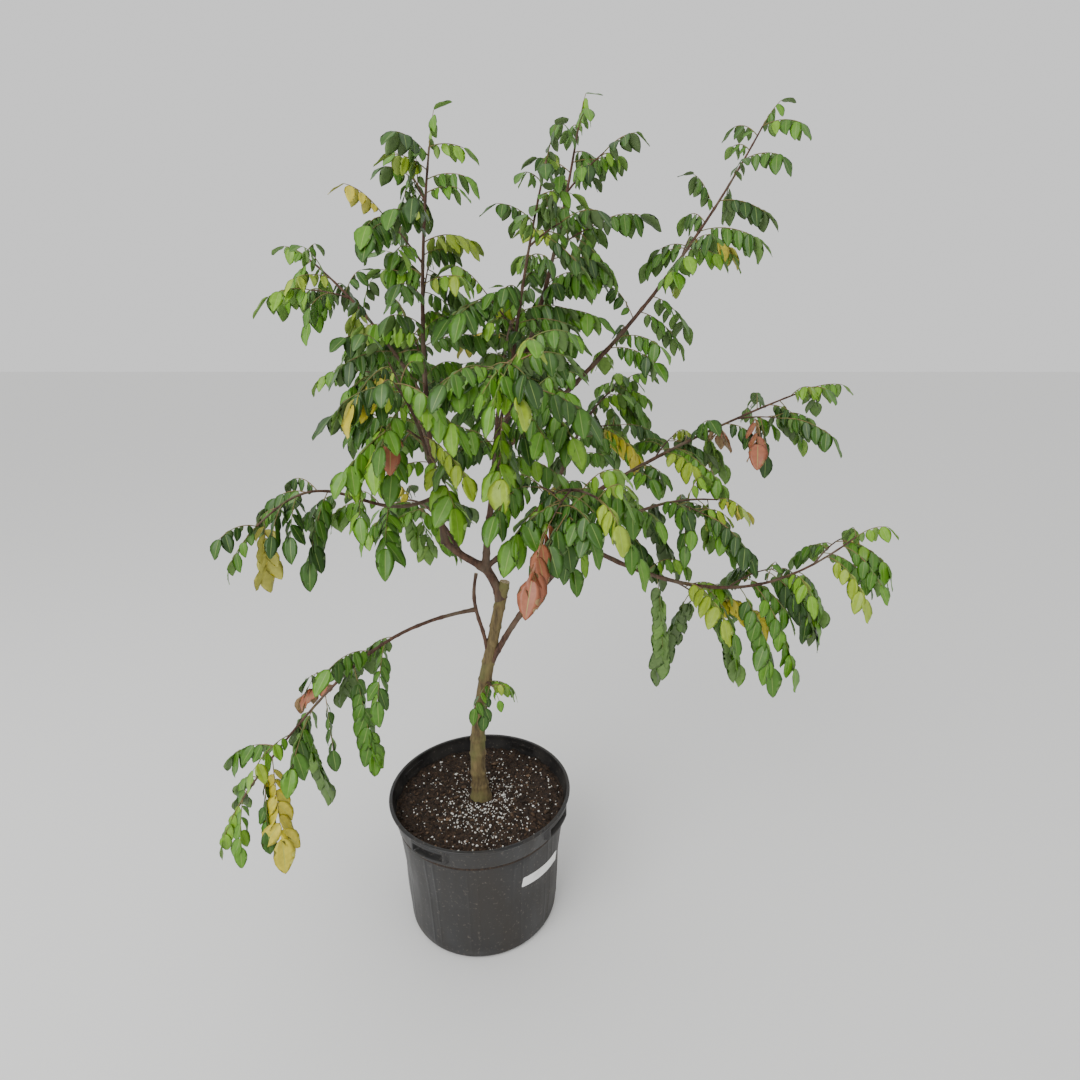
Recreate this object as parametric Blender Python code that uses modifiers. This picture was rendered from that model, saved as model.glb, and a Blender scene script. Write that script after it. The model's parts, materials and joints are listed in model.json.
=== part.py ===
"""Star fruit tree in a black nursery pot, as separate named solids.

Metres, +Z up.  The origin is the centre of the pot's flat underside, the tree's
fuller side reaches along +X and its front faces -Y.  Every limb is one line: a
chord from its start on the parent limb, bowed and waved by named amounts.  The
first share of a line is the bare bough, and the rest is the stem of a mass of
foliage that twigs and compound leaves branch from by a seeded rule.
"""

import math
import random
from dataclasses import dataclass

import bmesh
import bpy
import numpy as np
from mathutils import Matrix, Vector

GAP = 0.0003                 # clearance between neighbouring pieces

POT_HEIGHT = 0.330
POT_RIM_RADIUS = 0.2135
POT_BAND_TOP_RADIUS = 0.2085
POT_BAND_FOOT_RADIUS = 0.1985
POT_WALL_TOP_RADIUS = 0.1955
POT_WALL_MIDDLE_RADIUS = 0.1850
POT_HEEL_RADIUS = 0.1790
POT_HEEL_ROUNDING = 0.014
POT_WALL = 0.0030
POT_FLOOR = 0.0040
POT_LIP_DEPTH = 0.010        # height of the turned-out lip
POT_BAND_DEPTH = 0.053       # rim to the foot of the flared band
POT_BAND_STEP = 0.006        # height of the step under the band
POT_MIDDLE = 0.150           # height where the wall's slope changes
POT_SEGMENTS = 30

GRIP_COUNT = 4
GRIP_FIRST_ANGLE = -117.0    # degrees from +X
GRIP_HALF_ANGLE = 14.0
GRIP_SLOT_HALF_ANGLE = 10.5
GRIP_TOP = 0.322
GRIP_FOOT = 0.288
GRIP_SLOT_TOP = 0.316
GRIP_SLOT_FOOT = 0.297
GRIP_OUTER_RADIUS = 0.2125

DRAIN_COUNT = 4
DRAIN_RADIUS = 0.008
DRAIN_RING_RADIUS = 0.135

LABEL_LENGTH = 0.122
LABEL_HEIGHT = 0.027
LABEL_THICKNESS = 0.0006
LABEL_ANGLE = -38.0          # degrees from +X to the middle of the label
LABEL_MIDDLE = 0.193         # height of its middle
LABEL_TILT = -6.0            # degrees, its right end lower
LABEL_STEPS = 12

SOIL_TOP = 0.303             # level where the trunk stands
SOIL_EDGE_DROP = 0.006
SOIL_SEAT_RADIUS = 0.036     # flat ring round the trunk's foot
SOIL_SHOULDER = (0.120, 0.0018)  # radius of its shoulder, and how much lower that is

TRUNK_SIDES = 12
TRUNK_FOOT_RADIUS = 0.0255
TRUNK_RADIUS = 0.0185
TRUNK_TIP_RADIUS = 0.0110
TRUNK_FLARE_HEIGHT = 0.017   # climb in which the root flare falls to a third

BOUGH_SIDES = 8
BOUGH_STEP = 0.055           # length of one ring-to-ring stretch
STEM_SIDES = 5
STEM_STEP = 0.070
SEAT = 0.006                 # first stretch of the trunk and of each stem, square to its seat
TWIG_SIDES = 3

GOLDEN_ANGLE = 137.5
TURN_SPREAD = 18.0           # degrees either way that a node strays from that turn
LEAF_FORWARD = 0.5           # how much of its stem's direction a leaf keeps
TWIG_FORWARD = 1.1
LIFT = 0.10                  # how much a leaf or twig turns upwards as it leaves
FLATTENING = 0.55            # how flat the leaves spread on a level stem
TWIG_DROOP = 0.4             # a twig's droop as a share of a leaf's
BLADE_THICKNESS = 0.0026
BLADE_WIDTH_SHARE = 0.62
BLADE_WIDEST = 0.42          # where a blade is widest, as a share of its length
BLADE_SUNK = 0.0012          # how far past the stalk's middle a blade's root lies
SIDE_BLADE_SHARE = 0.76      # length of the blade under a stalk, as a share of the leaf
END_BLADE_SHARE = 0.86       # length of the blade at its tip
STALK_RADIUS = 0.0026
TWIG_RADII = (0.0034, 0.0030, 0.0024)
BLADE_SEED = 500
LEAF_SIZES = (1.0, 0.72)     # sizes tried in turn until a leaf fits its space
SIDE_BLADE_AT = 4            # the stalk's point that the side blade hangs from
STALK_POINTS = 8             # points along a stalk or twig
RINGS = [0, 4, 7]            # those of them where its tube has a ring
TWIG_NODES = (3, 5, 7)       # those where a twig carries a leaf
STEM_POINTS = 60
LIMB_PROBE = 0.008           # spacing of the points that stand for the limbs
CELL_REACH = 0.30            # no leaf lies further than this from its stem
CELL_MARGIN = 0.006          # how much nearer its own stem a leaf must lie
LIMB_MARGIN = 0.003          # clear space between a leaf and a limb


@dataclass
class Limb:
    """A line from a parent limb, and the foliage at its end if bare is under 1.

    station: where on the parent it leaves, 0 at its foot and 1 at its tip.
    heading: direction of the level run, degrees from +X towards +Y.
    reach, rise: level run and climb from start to tip.
    arch, sway: bow of the middle, upwards and to the left of the run.
    wave: swing of an S-bend, upwards in the first half.
    foot, tip: radii at the two ends of the whole line.
    bare: share of the line that is the bough.
    """
    name: str
    parent: str
    station: float
    heading: float
    reach: float
    rise: float
    arch: float
    sway: float
    wave: float
    foot: float
    tip: float
    bare: float = 1.0


@dataclass
class Foliage:
    """How a limb's stem carries leaves.

    step: distance between compound leaves.  leaf: length of a leaf stalk.
    twigs: how many side twigs.  twig: length of the longest.
    droop: how far leaf stalks and twigs sink, as a share of their length.
    """
    limb: str
    seed: int
    step: float
    leaf: float
    twigs: int
    twig: float
    droop: float


LIMBS = [
    Limb("trunk", "", 0.0, 0, 0.070, 0.548, 0.022, 0.004, 0.004, TRUNK_RADIUS, TRUNK_TIP_RADIUS),
    Limb("fork_limb", "trunk", 0.925, 180, 0.032, 0.072, 0.003, 0.0, 0.0, 0.0105, 0.0095),
    Limb("left_limb", "fork_limb", 1.0, 184, 0.082, 0.058, -0.004, 0.0, 0.0, 0.0085, 0.0072),
    Limb("left_leader", "left_limb", 1.0, 290, 0.045, 0.715, 0.0, -0.026, 0.0,
         0.0068, 0.0018, 0.42),
    Limb("centre_leader", "fork_limb", 1.0, 14, 0.196, 0.830, 0.010, 0.0, 0.012,
         0.0080, 0.0018, 0.42),
    Limb("low_right_limb", "trunk", 0.585, -13, 0.222, 0.322, 0.020, 0.0, 0.0, 0.0070, 0.0055),
    Limb("thin_stem", "trunk", 0.640, 176, 0.020, 0.212, -0.006, 0.006, 0.006, 0.0046, 0.0036),
    Limb("middle_right", "fork_limb", 1.0, 9, 0.700, 0.365, 0.022, 0.030, 0.0,
         0.0062, 0.0016, 0.38),
    Limb("upper_right", "centre_leader", 0.29, 13, 0.525, 0.610, -0.042, 0.0, 0.0,
         0.0060, 0.0016, 0.30),
    Limb("low_right", "low_right_limb", 1.0, -7, 0.520, 0.035, -0.098, 0.0, 0.006,
         0.0052, 0.0016, 0.16),
    Limb("inner_right", "low_right_limb", 1.0, 8, 0.270, 0.085, 0.030, 0.0, 0.0,
         0.0046, 0.0016, 0.15),
    Limb("low_left", "thin_stem", 0.62, 210, 0.500, -0.290, 0.075, 0.0, 0.010,
         0.0042, 0.0016, 0.24),
    Limb("middle_left", "left_leader", 0.14, 217, 0.345, -0.005, 0.026, 0.0, -0.026,
         0.0042, 0.0016, 0.22),
    Limb("upper_left", "left_leader", 0.40, 156, 0.265, 0.275, 0.020, 0.0, 0.0,
         0.0042, 0.0016, 0.20),
    Limb("top_middle", "centre_leader", 0.36, 309, 0.130, 0.440, 0.014, 0.0, 0.0,
         0.0042, 0.0016, 0.14),
    Limb("front_middle", "centre_leader", 0.14, 283, 0.400, 0.330, 0.045, 0.0, 0.0,
         0.0050, 0.0016, 0.26),
    Limb("front_right", "middle_right", 0.13, 290, 0.380, 0.170, 0.050, 0.0, 0.0,
         0.0048, 0.0016, 0.26),
    Limb("front_left", "left_leader", 0.07, 271, 0.340, 0.290, 0.045, 0.0, 0.0,
         0.0048, 0.0016, 0.26),
    Limb("back_middle", "centre_leader", 0.18, 84, 0.340, 0.400, 0.045, 0.0, 0.0,
         0.0050, 0.0016, 0.24),
    Limb("back_left", "left_leader", 0.20, 118, 0.360, 0.270, 0.045, 0.0, 0.0,
         0.0048, 0.0016, 0.24),
    Limb("back_right", "middle_right", 0.20, 62, 0.390, 0.270, 0.055, 0.0, 0.0,
         0.0048, 0.0016, 0.24),
    Limb("back_low", "left_limb", 0.60, 128, 0.310, 0.050, 0.050, 0.0, 0.0,
         0.0042, 0.0016, 0.30),
    Limb("trunk_shoot", "trunk", 0.545, -60, 0.040, 0.012, 0.004, 0.0, 0.0,
         0.0026, 0.0018, 0.0),
]

FOLIAGE = [
    Foliage("left_leader", 11, 0.034, 0.115, 4, 0.13, 0.35),
    Foliage("centre_leader", 12, 0.034, 0.115, 4, 0.14, 0.35),
    Foliage("middle_right", 13, 0.049, 0.120, 2, 0.12, 0.40),
    Foliage("upper_right", 14, 0.052, 0.120, 1, 0.10, 0.40),
    Foliage("low_right", 15, 0.056, 0.125, 3, 0.18, 0.65),
    Foliage("inner_right", 16, 0.038, 0.115, 1, 0.10, 0.50),
    Foliage("low_left", 17, 0.050, 0.120, 0, 0.0, 0.45),
    Foliage("middle_left", 18, 0.044, 0.110, 0, 0.0, 0.50),
    Foliage("upper_left", 19, 0.040, 0.110, 1, 0.10, 0.40),
    Foliage("top_middle", 20, 0.040, 0.105, 2, 0.10, 0.35),
    Foliage("front_middle", 21, 0.042, 0.120, 2, 0.12, 0.45),
    Foliage("front_right", 22, 0.046, 0.120, 2, 0.12, 0.50),
    Foliage("front_left", 23, 0.040, 0.120, 2, 0.12, 0.45),
    Foliage("back_middle", 24, 0.042, 0.125, 3, 0.13, 0.45),
    Foliage("back_left", 25, 0.042, 0.125, 2, 0.13, 0.45),
    Foliage("back_right", 26, 0.046, 0.125, 2, 0.13, 0.45),
    Foliage("back_low", 27, 0.044, 0.120, 1, 0.12, 0.45),
    Foliage("trunk_shoot", 28, 0.050, 0.060, 0, 0.0, 0.70),
]

BY_NAME = {limb.name: limb for limb in LIMBS}
UP = np.array([0.0, 0.0, 1.0])


def clear_scene():
    """Remove whatever the open file holds."""
    for item in list(bpy.data.objects):
        bpy.data.objects.remove(item, do_unlink=True)


def collection(name):
    """A new collection under the scene."""
    group = bpy.data.collections.new(name)
    bpy.context.scene.collection.children.link(group)
    return group


def material(name, colour, roughness):
    """A plain Principled material."""
    made = bpy.data.materials.new(name)
    made.use_nodes = True
    shader = made.node_tree.nodes["Principled BSDF"]
    shader.inputs["Base Color"].default_value = (*colour, 1.0)
    shader.inputs["Roughness"].default_value = roughness
    shader.inputs["Metallic"].default_value = 0.0
    made.diffuse_color = (*colour, 1.0)
    return made


def add_object(name, mesh, group, finish=None):
    """Link a mesh under a name, with its material."""
    made = bpy.data.objects.new(name, mesh)
    group.objects.link(made)
    if finish:
        mesh.materials.clear()
        mesh.materials.append(finish)
    return made


def evaluated_mesh(item):
    """The item's mesh with its modifiers applied, its doubles welded."""
    bpy.context.view_layer.update()
    graph = bpy.context.evaluated_depsgraph_get()
    mesh = bpy.data.meshes.new_from_object(item.evaluated_get(graph), depsgraph=graph)
    edit = bmesh.new()
    edit.from_mesh(mesh)
    bmesh.ops.remove_doubles(edit, verts=edit.verts, dist=1e-6)
    edit.to_mesh(mesh)
    edit.free()
    return mesh


def bake(item):
    """Replace an object's mesh by its evaluated one and drop its modifiers."""
    mesh = evaluated_mesh(item)
    item.modifiers.clear()
    item.data = mesh
    return item


def keep_largest(mesh):
    """Keep the one connected shell with the largest box, and drop scraps."""
    edit = bmesh.new()
    edit.from_mesh(mesh)
    waiting = set(edit.verts)
    shells = []
    while waiting:
        shell = [waiting.pop()]
        for vert in shell:
            for edge in vert.link_edges:
                other = edge.other_vert(vert)
                if other in waiting:
                    waiting.remove(other)
                    shell.append(other)
        shells.append(shell)

    def box_size(shell):
        corners = np.array([vert.co for vert in shell])
        return float(np.prod(corners.max(0) - corners.min(0) + 1e-4))

    shells.sort(key=box_size)
    for shell in shells[:-1]:
        bmesh.ops.delete(edit, geom=shell, context="VERTS")
    edit.to_mesh(mesh)
    edit.free()


def boolean(item, other, operation):
    """Cut or join one object with another, and apply it."""
    step = item.modifiers.new(operation.lower(), "BOOLEAN")
    step.operation = operation
    step.solver = "EXACT"
    step.object = other
    return bake(item)


def level_direction(degrees):
    """Unit vector on the level at an angle from +X."""
    turn = math.radians(degrees)
    return np.array([math.cos(turn), math.sin(turn), 0.0])


def limb_start(limb):
    """Where a limb's line begins: on its parent's line, or on the soil."""
    if not limb.parent:
        return np.array([0.0, 0.0, SOIL_TOP + GAP])
    parent = BY_NAME[limb.parent]
    return limb_line(parent, np.array([limb.station]))[0]


def limb_line(limb, shares):
    """Points of a limb's line at the given shares of its run.

    The chord runs level by reach and climbs by rise.  A parabola 4t(1-t) bows it
    by arch and sway, and one period of a sine adds the wave.
    """
    shares = np.asarray(shares, float)[:, None]
    run = level_direction(limb.heading)
    left = level_direction(limb.heading + 90)
    chord = run * limb.reach + np.array([0.0, 0.0, limb.rise])
    above = np.array([0.0, 0.0, limb.reach]) - run * limb.rise
    above /= np.linalg.norm(above)
    bow = 4 * shares * (1 - shares)
    swing = np.sin(2 * math.pi * shares)
    return (limb_start(limb) + shares * chord + bow * (limb.arch * above + limb.sway * left)
            + swing * limb.wave * above)


def limb_radii(limb, shares):
    """Radius along a limb, tapering evenly; the trunk flares into its foot."""
    shares = np.asarray(shares, float)
    radii = limb.foot + (limb.tip - limb.foot) * shares
    if not limb.parent:
        height = shares * limb.rise
        radii = radii + (TRUNK_FOOT_RADIUS - TRUNK_RADIUS) * np.exp(-height / TRUNK_FLARE_HEIGHT)
    return radii


def limb_shares(limb, begin, end, step):
    """Evenly spaced shares with about one step of length between them."""
    length = math.hypot(limb.reach, limb.rise) * (end - begin)
    count = max(3, round(length / step) + 1)
    return np.linspace(begin, end, count)


def section(sides):
    """The unit polygon, drawn clockwise, that a tube of that many sides is bevelled with."""
    name = f"section_{sides}"
    if name in bpy.data.objects:
        return bpy.data.objects[name]
    curve = bpy.data.curves.new(name, "CURVE")
    spline = curve.splines.new("POLY")
    spline.points.add(sides - 1)
    for index, slot in enumerate(spline.points):
        turn = -2 * math.pi * index / sides
        slot.co = (math.cos(turn), math.sin(turn), 0.0, 1.0)
    spline.use_cyclic_u = True
    made = bpy.data.objects.new(name, curve)
    bpy.data.collections["cutters"].objects.link(made)
    return made


def tube_mesh(name, points, radii, sides):
    """A tapering tube along points: a bevelled curve with filled caps, welded."""
    curve = bpy.data.curves.new(name, "CURVE")
    curve.dimensions = "3D"
    curve.bevel_mode = "OBJECT"
    curve.bevel_object = section(sides)
    curve.use_fill_caps = True
    spline = curve.splines.new("POLY")
    spline.points.add(len(points) - 1)
    for slot, point, radius in zip(spline.points, points, radii):
        slot.co = (*point, 1.0)
        slot.radius = radius
    item = bpy.data.objects.new(name, curve)
    bpy.data.collections["cutters"].objects.link(item)
    mesh = evaluated_mesh(item)
    bpy.data.objects.remove(item)
    bpy.data.curves.remove(curve)
    return mesh


def pot_outer_radius(height):
    """Radius of the pot's outer wall at a height, along its four slopes."""
    band_top = POT_HEIGHT - POT_LIP_DEPTH
    band_foot = POT_HEIGHT - POT_BAND_DEPTH
    heights = [0.0, POT_MIDDLE, band_foot - POT_BAND_STEP, band_foot, band_top, POT_HEIGHT]
    radii = [POT_HEEL_RADIUS, POT_WALL_MIDDLE_RADIUS, POT_WALL_TOP_RADIUS,
             POT_BAND_FOOT_RADIUS, POT_BAND_TOP_RADIUS, POT_BAND_TOP_RADIUS]
    return float(np.interp(height, heights, radii))


def turned(name, profile, group, finish, segments=POT_SEGMENTS):
    """A solid turned about the Z axis from a profile of radius and height."""
    edit = bmesh.new()
    verts = [edit.verts.new((radius, 0.0, height)) for radius, height in profile]
    for first, second in zip(verts, verts[1:]):
        edit.edges.new((first, second))
    mesh = bpy.data.meshes.new(name)
    edit.to_mesh(mesh)
    edit.free()
    item = add_object(name, mesh, group, finish)
    screw = item.modifiers.new("turn", "SCREW")
    screw.axis = "Z"
    screw.angle = 2 * math.pi
    screw.steps = segments
    screw.render_steps = segments
    screw.use_merge_vertices = True
    screw.merge_threshold = 0.0001
    return item


def sector(name, inner, outer, foot, top, middle, half_angle, group, steps=4):
    """A flat ring sector, extruded from foot to top."""
    curve = bpy.data.curves.new(name, "CURVE")
    curve.dimensions = "2D"
    curve.fill_mode = "BOTH"
    curve.extrude = (top - foot) / 2
    spline = curve.splines.new("POLY")
    angles = np.linspace(middle - half_angle, middle + half_angle, steps + 1)
    points = [outer * level_direction(angle) for angle in angles]
    points += [inner * level_direction(angle) for angle in angles[::-1]]
    spline.points.add(len(points) - 1)
    for slot, point in zip(spline.points, points):
        slot.co = (point[0], point[1], 0.0, 1.0)
    spline.use_cyclic_u = True
    flat = bpy.data.objects.new(name, curve)
    group.objects.link(flat)
    flat.location.z = (top + foot) / 2
    mesh = evaluated_mesh(flat)
    mesh.transform(Matrix.Translation((0.0, 0.0, (top + foot) / 2)))
    bpy.data.objects.remove(flat)
    return add_object(name, mesh, group)


def pot_profile():
    """Inner floor, inner wall, lip, flared band, wall, rounded heel, underside."""
    band_top = POT_HEIGHT - POT_LIP_DEPTH
    band_foot = POT_HEIGHT - POT_BAND_DEPTH
    profile = [(0.0, POT_FLOOR)]
    profile += [(radius, height) for radius, height in pot_inner_wall()]
    profile += [(POT_BAND_TOP_RADIUS - POT_WALL + 0.001, POT_HEIGHT),
                (POT_RIM_RADIUS - 0.001, POT_HEIGHT),
                (POT_RIM_RADIUS, POT_HEIGHT - 0.002),
                (POT_RIM_RADIUS - 0.0005, band_top + 0.002),
                (POT_BAND_TOP_RADIUS, band_top)]
    profile += [(pot_outer_radius(height), height)
                for height in (band_foot, band_foot - POT_BAND_STEP, POT_MIDDLE)]
    for turn in np.radians([0, 45, 90]):
        radius = POT_HEEL_RADIUS - POT_HEEL_ROUNDING * (1 - math.cos(turn))
        height = POT_HEEL_ROUNDING * (1 - math.sin(turn))
        profile.append((radius, height))
    profile.append((0.0, 0.0))
    return profile


def pot_inner_wall(clearance=0.0):
    """Points up the inside of the wall, moved inwards by a clearance."""
    heel = POT_HEEL_ROUNDING
    rows = [(POT_HEEL_RADIUS - heel, POT_FLOOR + clearance),
            (POT_HEEL_RADIUS - POT_WALL - clearance, heel)]
    band_foot = POT_HEIGHT - POT_BAND_DEPTH
    for height in (POT_MIDDLE, band_foot - POT_BAND_STEP, band_foot, POT_HEIGHT - POT_LIP_DEPTH):
        rows.append((pot_outer_radius(height) - POT_WALL - clearance, height))
    return rows


def build_pot(group, cutters):
    """The shell with its grips and drain holes."""
    plastic = material("black_plastic", (0.018, 0.018, 0.019), 0.5)
    pot = turned("pot", pot_profile(), group, plastic)
    hollow_rows = [(0.0, POT_FLOOR)] + pot_inner_wall(clearance=-0.001)
    top_radius = hollow_rows[-1][0]
    hollow_rows += [(top_radius, POT_HEIGHT + 0.02), (0.0, POT_HEIGHT + 0.02)]
    hollow = turned("hollow", hollow_rows[::-1], cutters, None)
    bake(pot)
    for index in range(GRIP_COUNT):
        angle = GRIP_FIRST_ANGLE + 360.0 * index / GRIP_COUNT
        lug = sector("lug", POT_WALL_MIDDLE_RADIUS, GRIP_OUTER_RADIUS, GRIP_FOOT, GRIP_TOP,
                     angle, GRIP_HALF_ANGLE, cutters)
        slot = sector("slot", POT_BAND_TOP_RADIUS - 0.002, POT_RIM_RADIUS + 0.01, GRIP_SLOT_FOOT,
                      GRIP_SLOT_TOP, angle, GRIP_SLOT_HALF_ANGLE, cutters)
        boolean(lug, hollow, "DIFFERENCE")
        boolean(lug, slot, "DIFFERENCE")
        boolean(pot, lug, "UNION")
        bpy.data.objects.remove(lug)
        bpy.data.objects.remove(slot)
    for index in range(DRAIN_COUNT):
        place = DRAIN_RING_RADIUS * level_direction(360.0 * index / DRAIN_COUNT)
        bpy.ops.mesh.primitive_cylinder_add(vertices=8, radius=DRAIN_RADIUS, depth=0.02,
                                            location=place)
        drain = bpy.context.active_object
        boolean(pot, drain, "DIFFERENCE")
        bpy.data.objects.remove(drain)
    bpy.data.objects.remove(hollow)
    keep_largest(pot.data)
    pot.data.shade_smooth()
    pot.data.set_sharp_from_angle(angle=math.radians(40))
    return pot


def build_soil(group):
    """The potting mix that fills the pot, a little lower at the wall."""
    mix = material("potting_mix", (0.045, 0.028, 0.018), 0.95)
    edge = SOIL_TOP - SOIL_EDGE_DROP
    wall = pot_inner_wall(GAP)
    rows = [(0.0, SOIL_TOP), (SOIL_SEAT_RADIUS, SOIL_TOP),
            (SOIL_SHOULDER[0], SOIL_TOP - SOIL_SHOULDER[1]),
            (pot_outer_radius(edge) - POT_WALL - GAP * 1.5, edge)]
    rows += [(radius, height) for radius, height in wall[::-1] if height < edge]
    rows.append((0.0, POT_FLOOR + GAP))
    return turned("soil", rows, group, mix, segments=POT_SEGMENTS)


def build_label(group):
    """A blank white sticker: a tilted strip bent round the wall, a hair clear of it."""
    paper = material("label_paper", (0.85, 0.85, 0.83), 0.6)
    tilt = math.radians(LABEL_TILT)
    edit = bmesh.new()
    strip = bmesh.ops.create_grid(edit, x_segments=LABEL_STEPS, y_segments=1, size=0.5)
    for vert in strip["verts"]:
        along = vert.co.x * LABEL_LENGTH
        upward = vert.co.y * LABEL_HEIGHT
        height = LABEL_MIDDLE + along * math.sin(tilt) + upward * math.cos(tilt)
        shift = along * math.cos(tilt) - upward * math.sin(tilt)
        radius = pot_outer_radius(height)
        place = (radius + GAP) * level_direction(LABEL_ANGLE + math.degrees(shift / radius))
        vert.co = (place[0], place[1], height)
    mesh = bpy.data.meshes.new("pot_label")
    edit.to_mesh(mesh)
    edit.free()
    label = add_object("pot_label", mesh, group, paper)
    thicken = label.modifiers.new("thickness", "SOLIDIFY")
    thicken.thickness = LABEL_THICKNESS
    thicken.offset = 1.0
    return label


def build_limbs(group, cutters):
    """Every bough, trimmed a gap clear of the limbs built before it.

    A sleeve is a limb's own tube, a gap wider all round.  The trunk's is returned.
    """
    bark = material("trunk_bark", (0.20, 0.16, 0.09), 0.85)
    young_bark = material("bough_bark", (0.13, 0.075, 0.045), 0.8)
    sleeves = []
    for limb in [limb for limb in LIMBS if limb.bare > 0.0]:
        sides = TRUNK_SIDES if limb.name == "trunk" else BOUGH_SIDES
        shares = limb_shares(limb, 0.0, limb.bare, BOUGH_STEP)
        points = limb_line(limb, shares)
        radii = limb_radii(limb, shares)
        if not limb.parent:
            points = np.insert(points, 1, points[0] + SEAT * UP, axis=0)
            radii = np.insert(radii, 0, radii[0])
        name = limb.name if limb.name == "trunk" else "bough_" + limb.name
        finish = bark if limb.name == "trunk" else young_bark
        item = add_object(name, tube_mesh(name, points, radii, sides), group, finish)
        for other, low, high in sleeves:
            if (points.min(0) < high).all() and (points.max(0) > low).all():
                boolean(item, other, "DIFFERENCE")
        keep_largest(item.data)
        item.data.shade_smooth()
        sleeve_mesh = tube_mesh("sleeve", stretched(points, GAP), radii + 1.3 * GAP, sides)
        sleeve = add_object("sleeve", sleeve_mesh, cutters)
        reach = radii.max() + 0.01
        sleeves.append((sleeve, points.min(0) - reach, points.max(0) + reach))
    for sleeve, low, high in sleeves[1:]:
        bpy.data.objects.remove(sleeve)
    return sleeves[0][0]


def stretched(points, amount):
    """The same points with both ends moved outwards along the line."""
    points = points.copy()
    first = points[0] - points[1]
    last = points[-1] - points[-2]
    points[0] += amount * first / np.linalg.norm(first)
    points[-1] += amount * last / np.linalg.norm(last)
    return points


def stem_points(limb, count=24):
    """Points of a limb's stem of foliage, from just past the bough to its tip."""
    points = limb_line(limb, np.linspace(limb.bare, 1.0, count))
    start = points[1] - points[0]
    points[0] += GAP * start / np.linalg.norm(start)
    return points


class Space:
    """The room that each mass may fill: nearer its own stem than any other's."""

    def __init__(self):
        self.stems = {part.limb: stem_points(BY_NAME[part.limb]) for part in FOLIAGE}
        rows = []
        for limb in LIMBS:
            shares = limb_shares(limb, 0.0, limb.bare, LIMB_PROBE)
            rows.append(np.column_stack([limb_line(limb, shares), limb_radii(limb, shares)]))
        self.limbs = np.vstack(rows)

    def in_cell(self, name, points):
        """True where every point is nearest its own stem and within reach."""
        own = distance_to_line(self.stems[name], points)
        if own.max() > CELL_REACH:
            return False
        others = [stem for other, stem in self.stems.items() if other != name]
        return all((distance_to_line(stem, points) > own + CELL_MARGIN).all() for stem in others)

    def rod_is_clear(self, points, radius):
        """True if a thin rod stays off every bough and the trunk."""
        spans = np.linalg.norm(points[:, None] - self.limbs[None, :, :3], axis=2)
        return bool((spans > self.limbs[None, :, 3] + radius + LIMB_MARGIN).all())

    def blade_is_clear(self, blade):
        """True if the flat box round a blade stays off every bough and the trunk."""
        offset = self.limbs[:, :3] - blade.root
        pad = self.limbs[:, 3] + LIMB_MARGIN
        along = offset @ blade.axis
        inside = (along > -pad) & (along < blade.length + pad)
        inside &= np.abs(offset @ blade.across) < 0.5 * blade.width + pad
        inside &= np.abs(offset @ np.cross(blade.axis, blade.across)) < BLADE_THICKNESS + pad
        return not inside.any()


def distance_to_line(line, points):
    """Distance from each point to the nearest stretch of a line."""
    begin = line[:-1][None]
    step = (line[1:] - line[:-1])[None]
    offset = points[:, None] - begin
    share = np.clip((offset * step).sum(2) / (step * step).sum(2), 0, 1)
    return np.linalg.norm(offset - share[..., None] * step, axis=2).min(1)


def unit(vector):
    """The vector at length 1."""
    return vector / np.linalg.norm(vector)


def drooping(start, direction, length, droop):
    """A line that leaves along direction and sinks with the square of its run."""
    shares = np.linspace(0, 1, STALK_POINTS)[:, None]
    return start + shares * length * direction - UP * droop * length * shares ** 2


def side_direction(tangent, turn, forward):
    """A heading at a turn round a stem, spread flat on level stems.

    forward is how much of the stem's own direction it keeps.
    """
    side = unit(np.cross(tangent, UP) + 1e-6)
    over = np.cross(side, tangent)
    flat = 1.0 - FLATTENING * math.hypot(tangent[0], tangent[1])
    radial = math.cos(turn) * side + flat * math.sin(turn) * over
    return unit(forward * tangent + unit(radial) + LIFT * UP)


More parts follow.
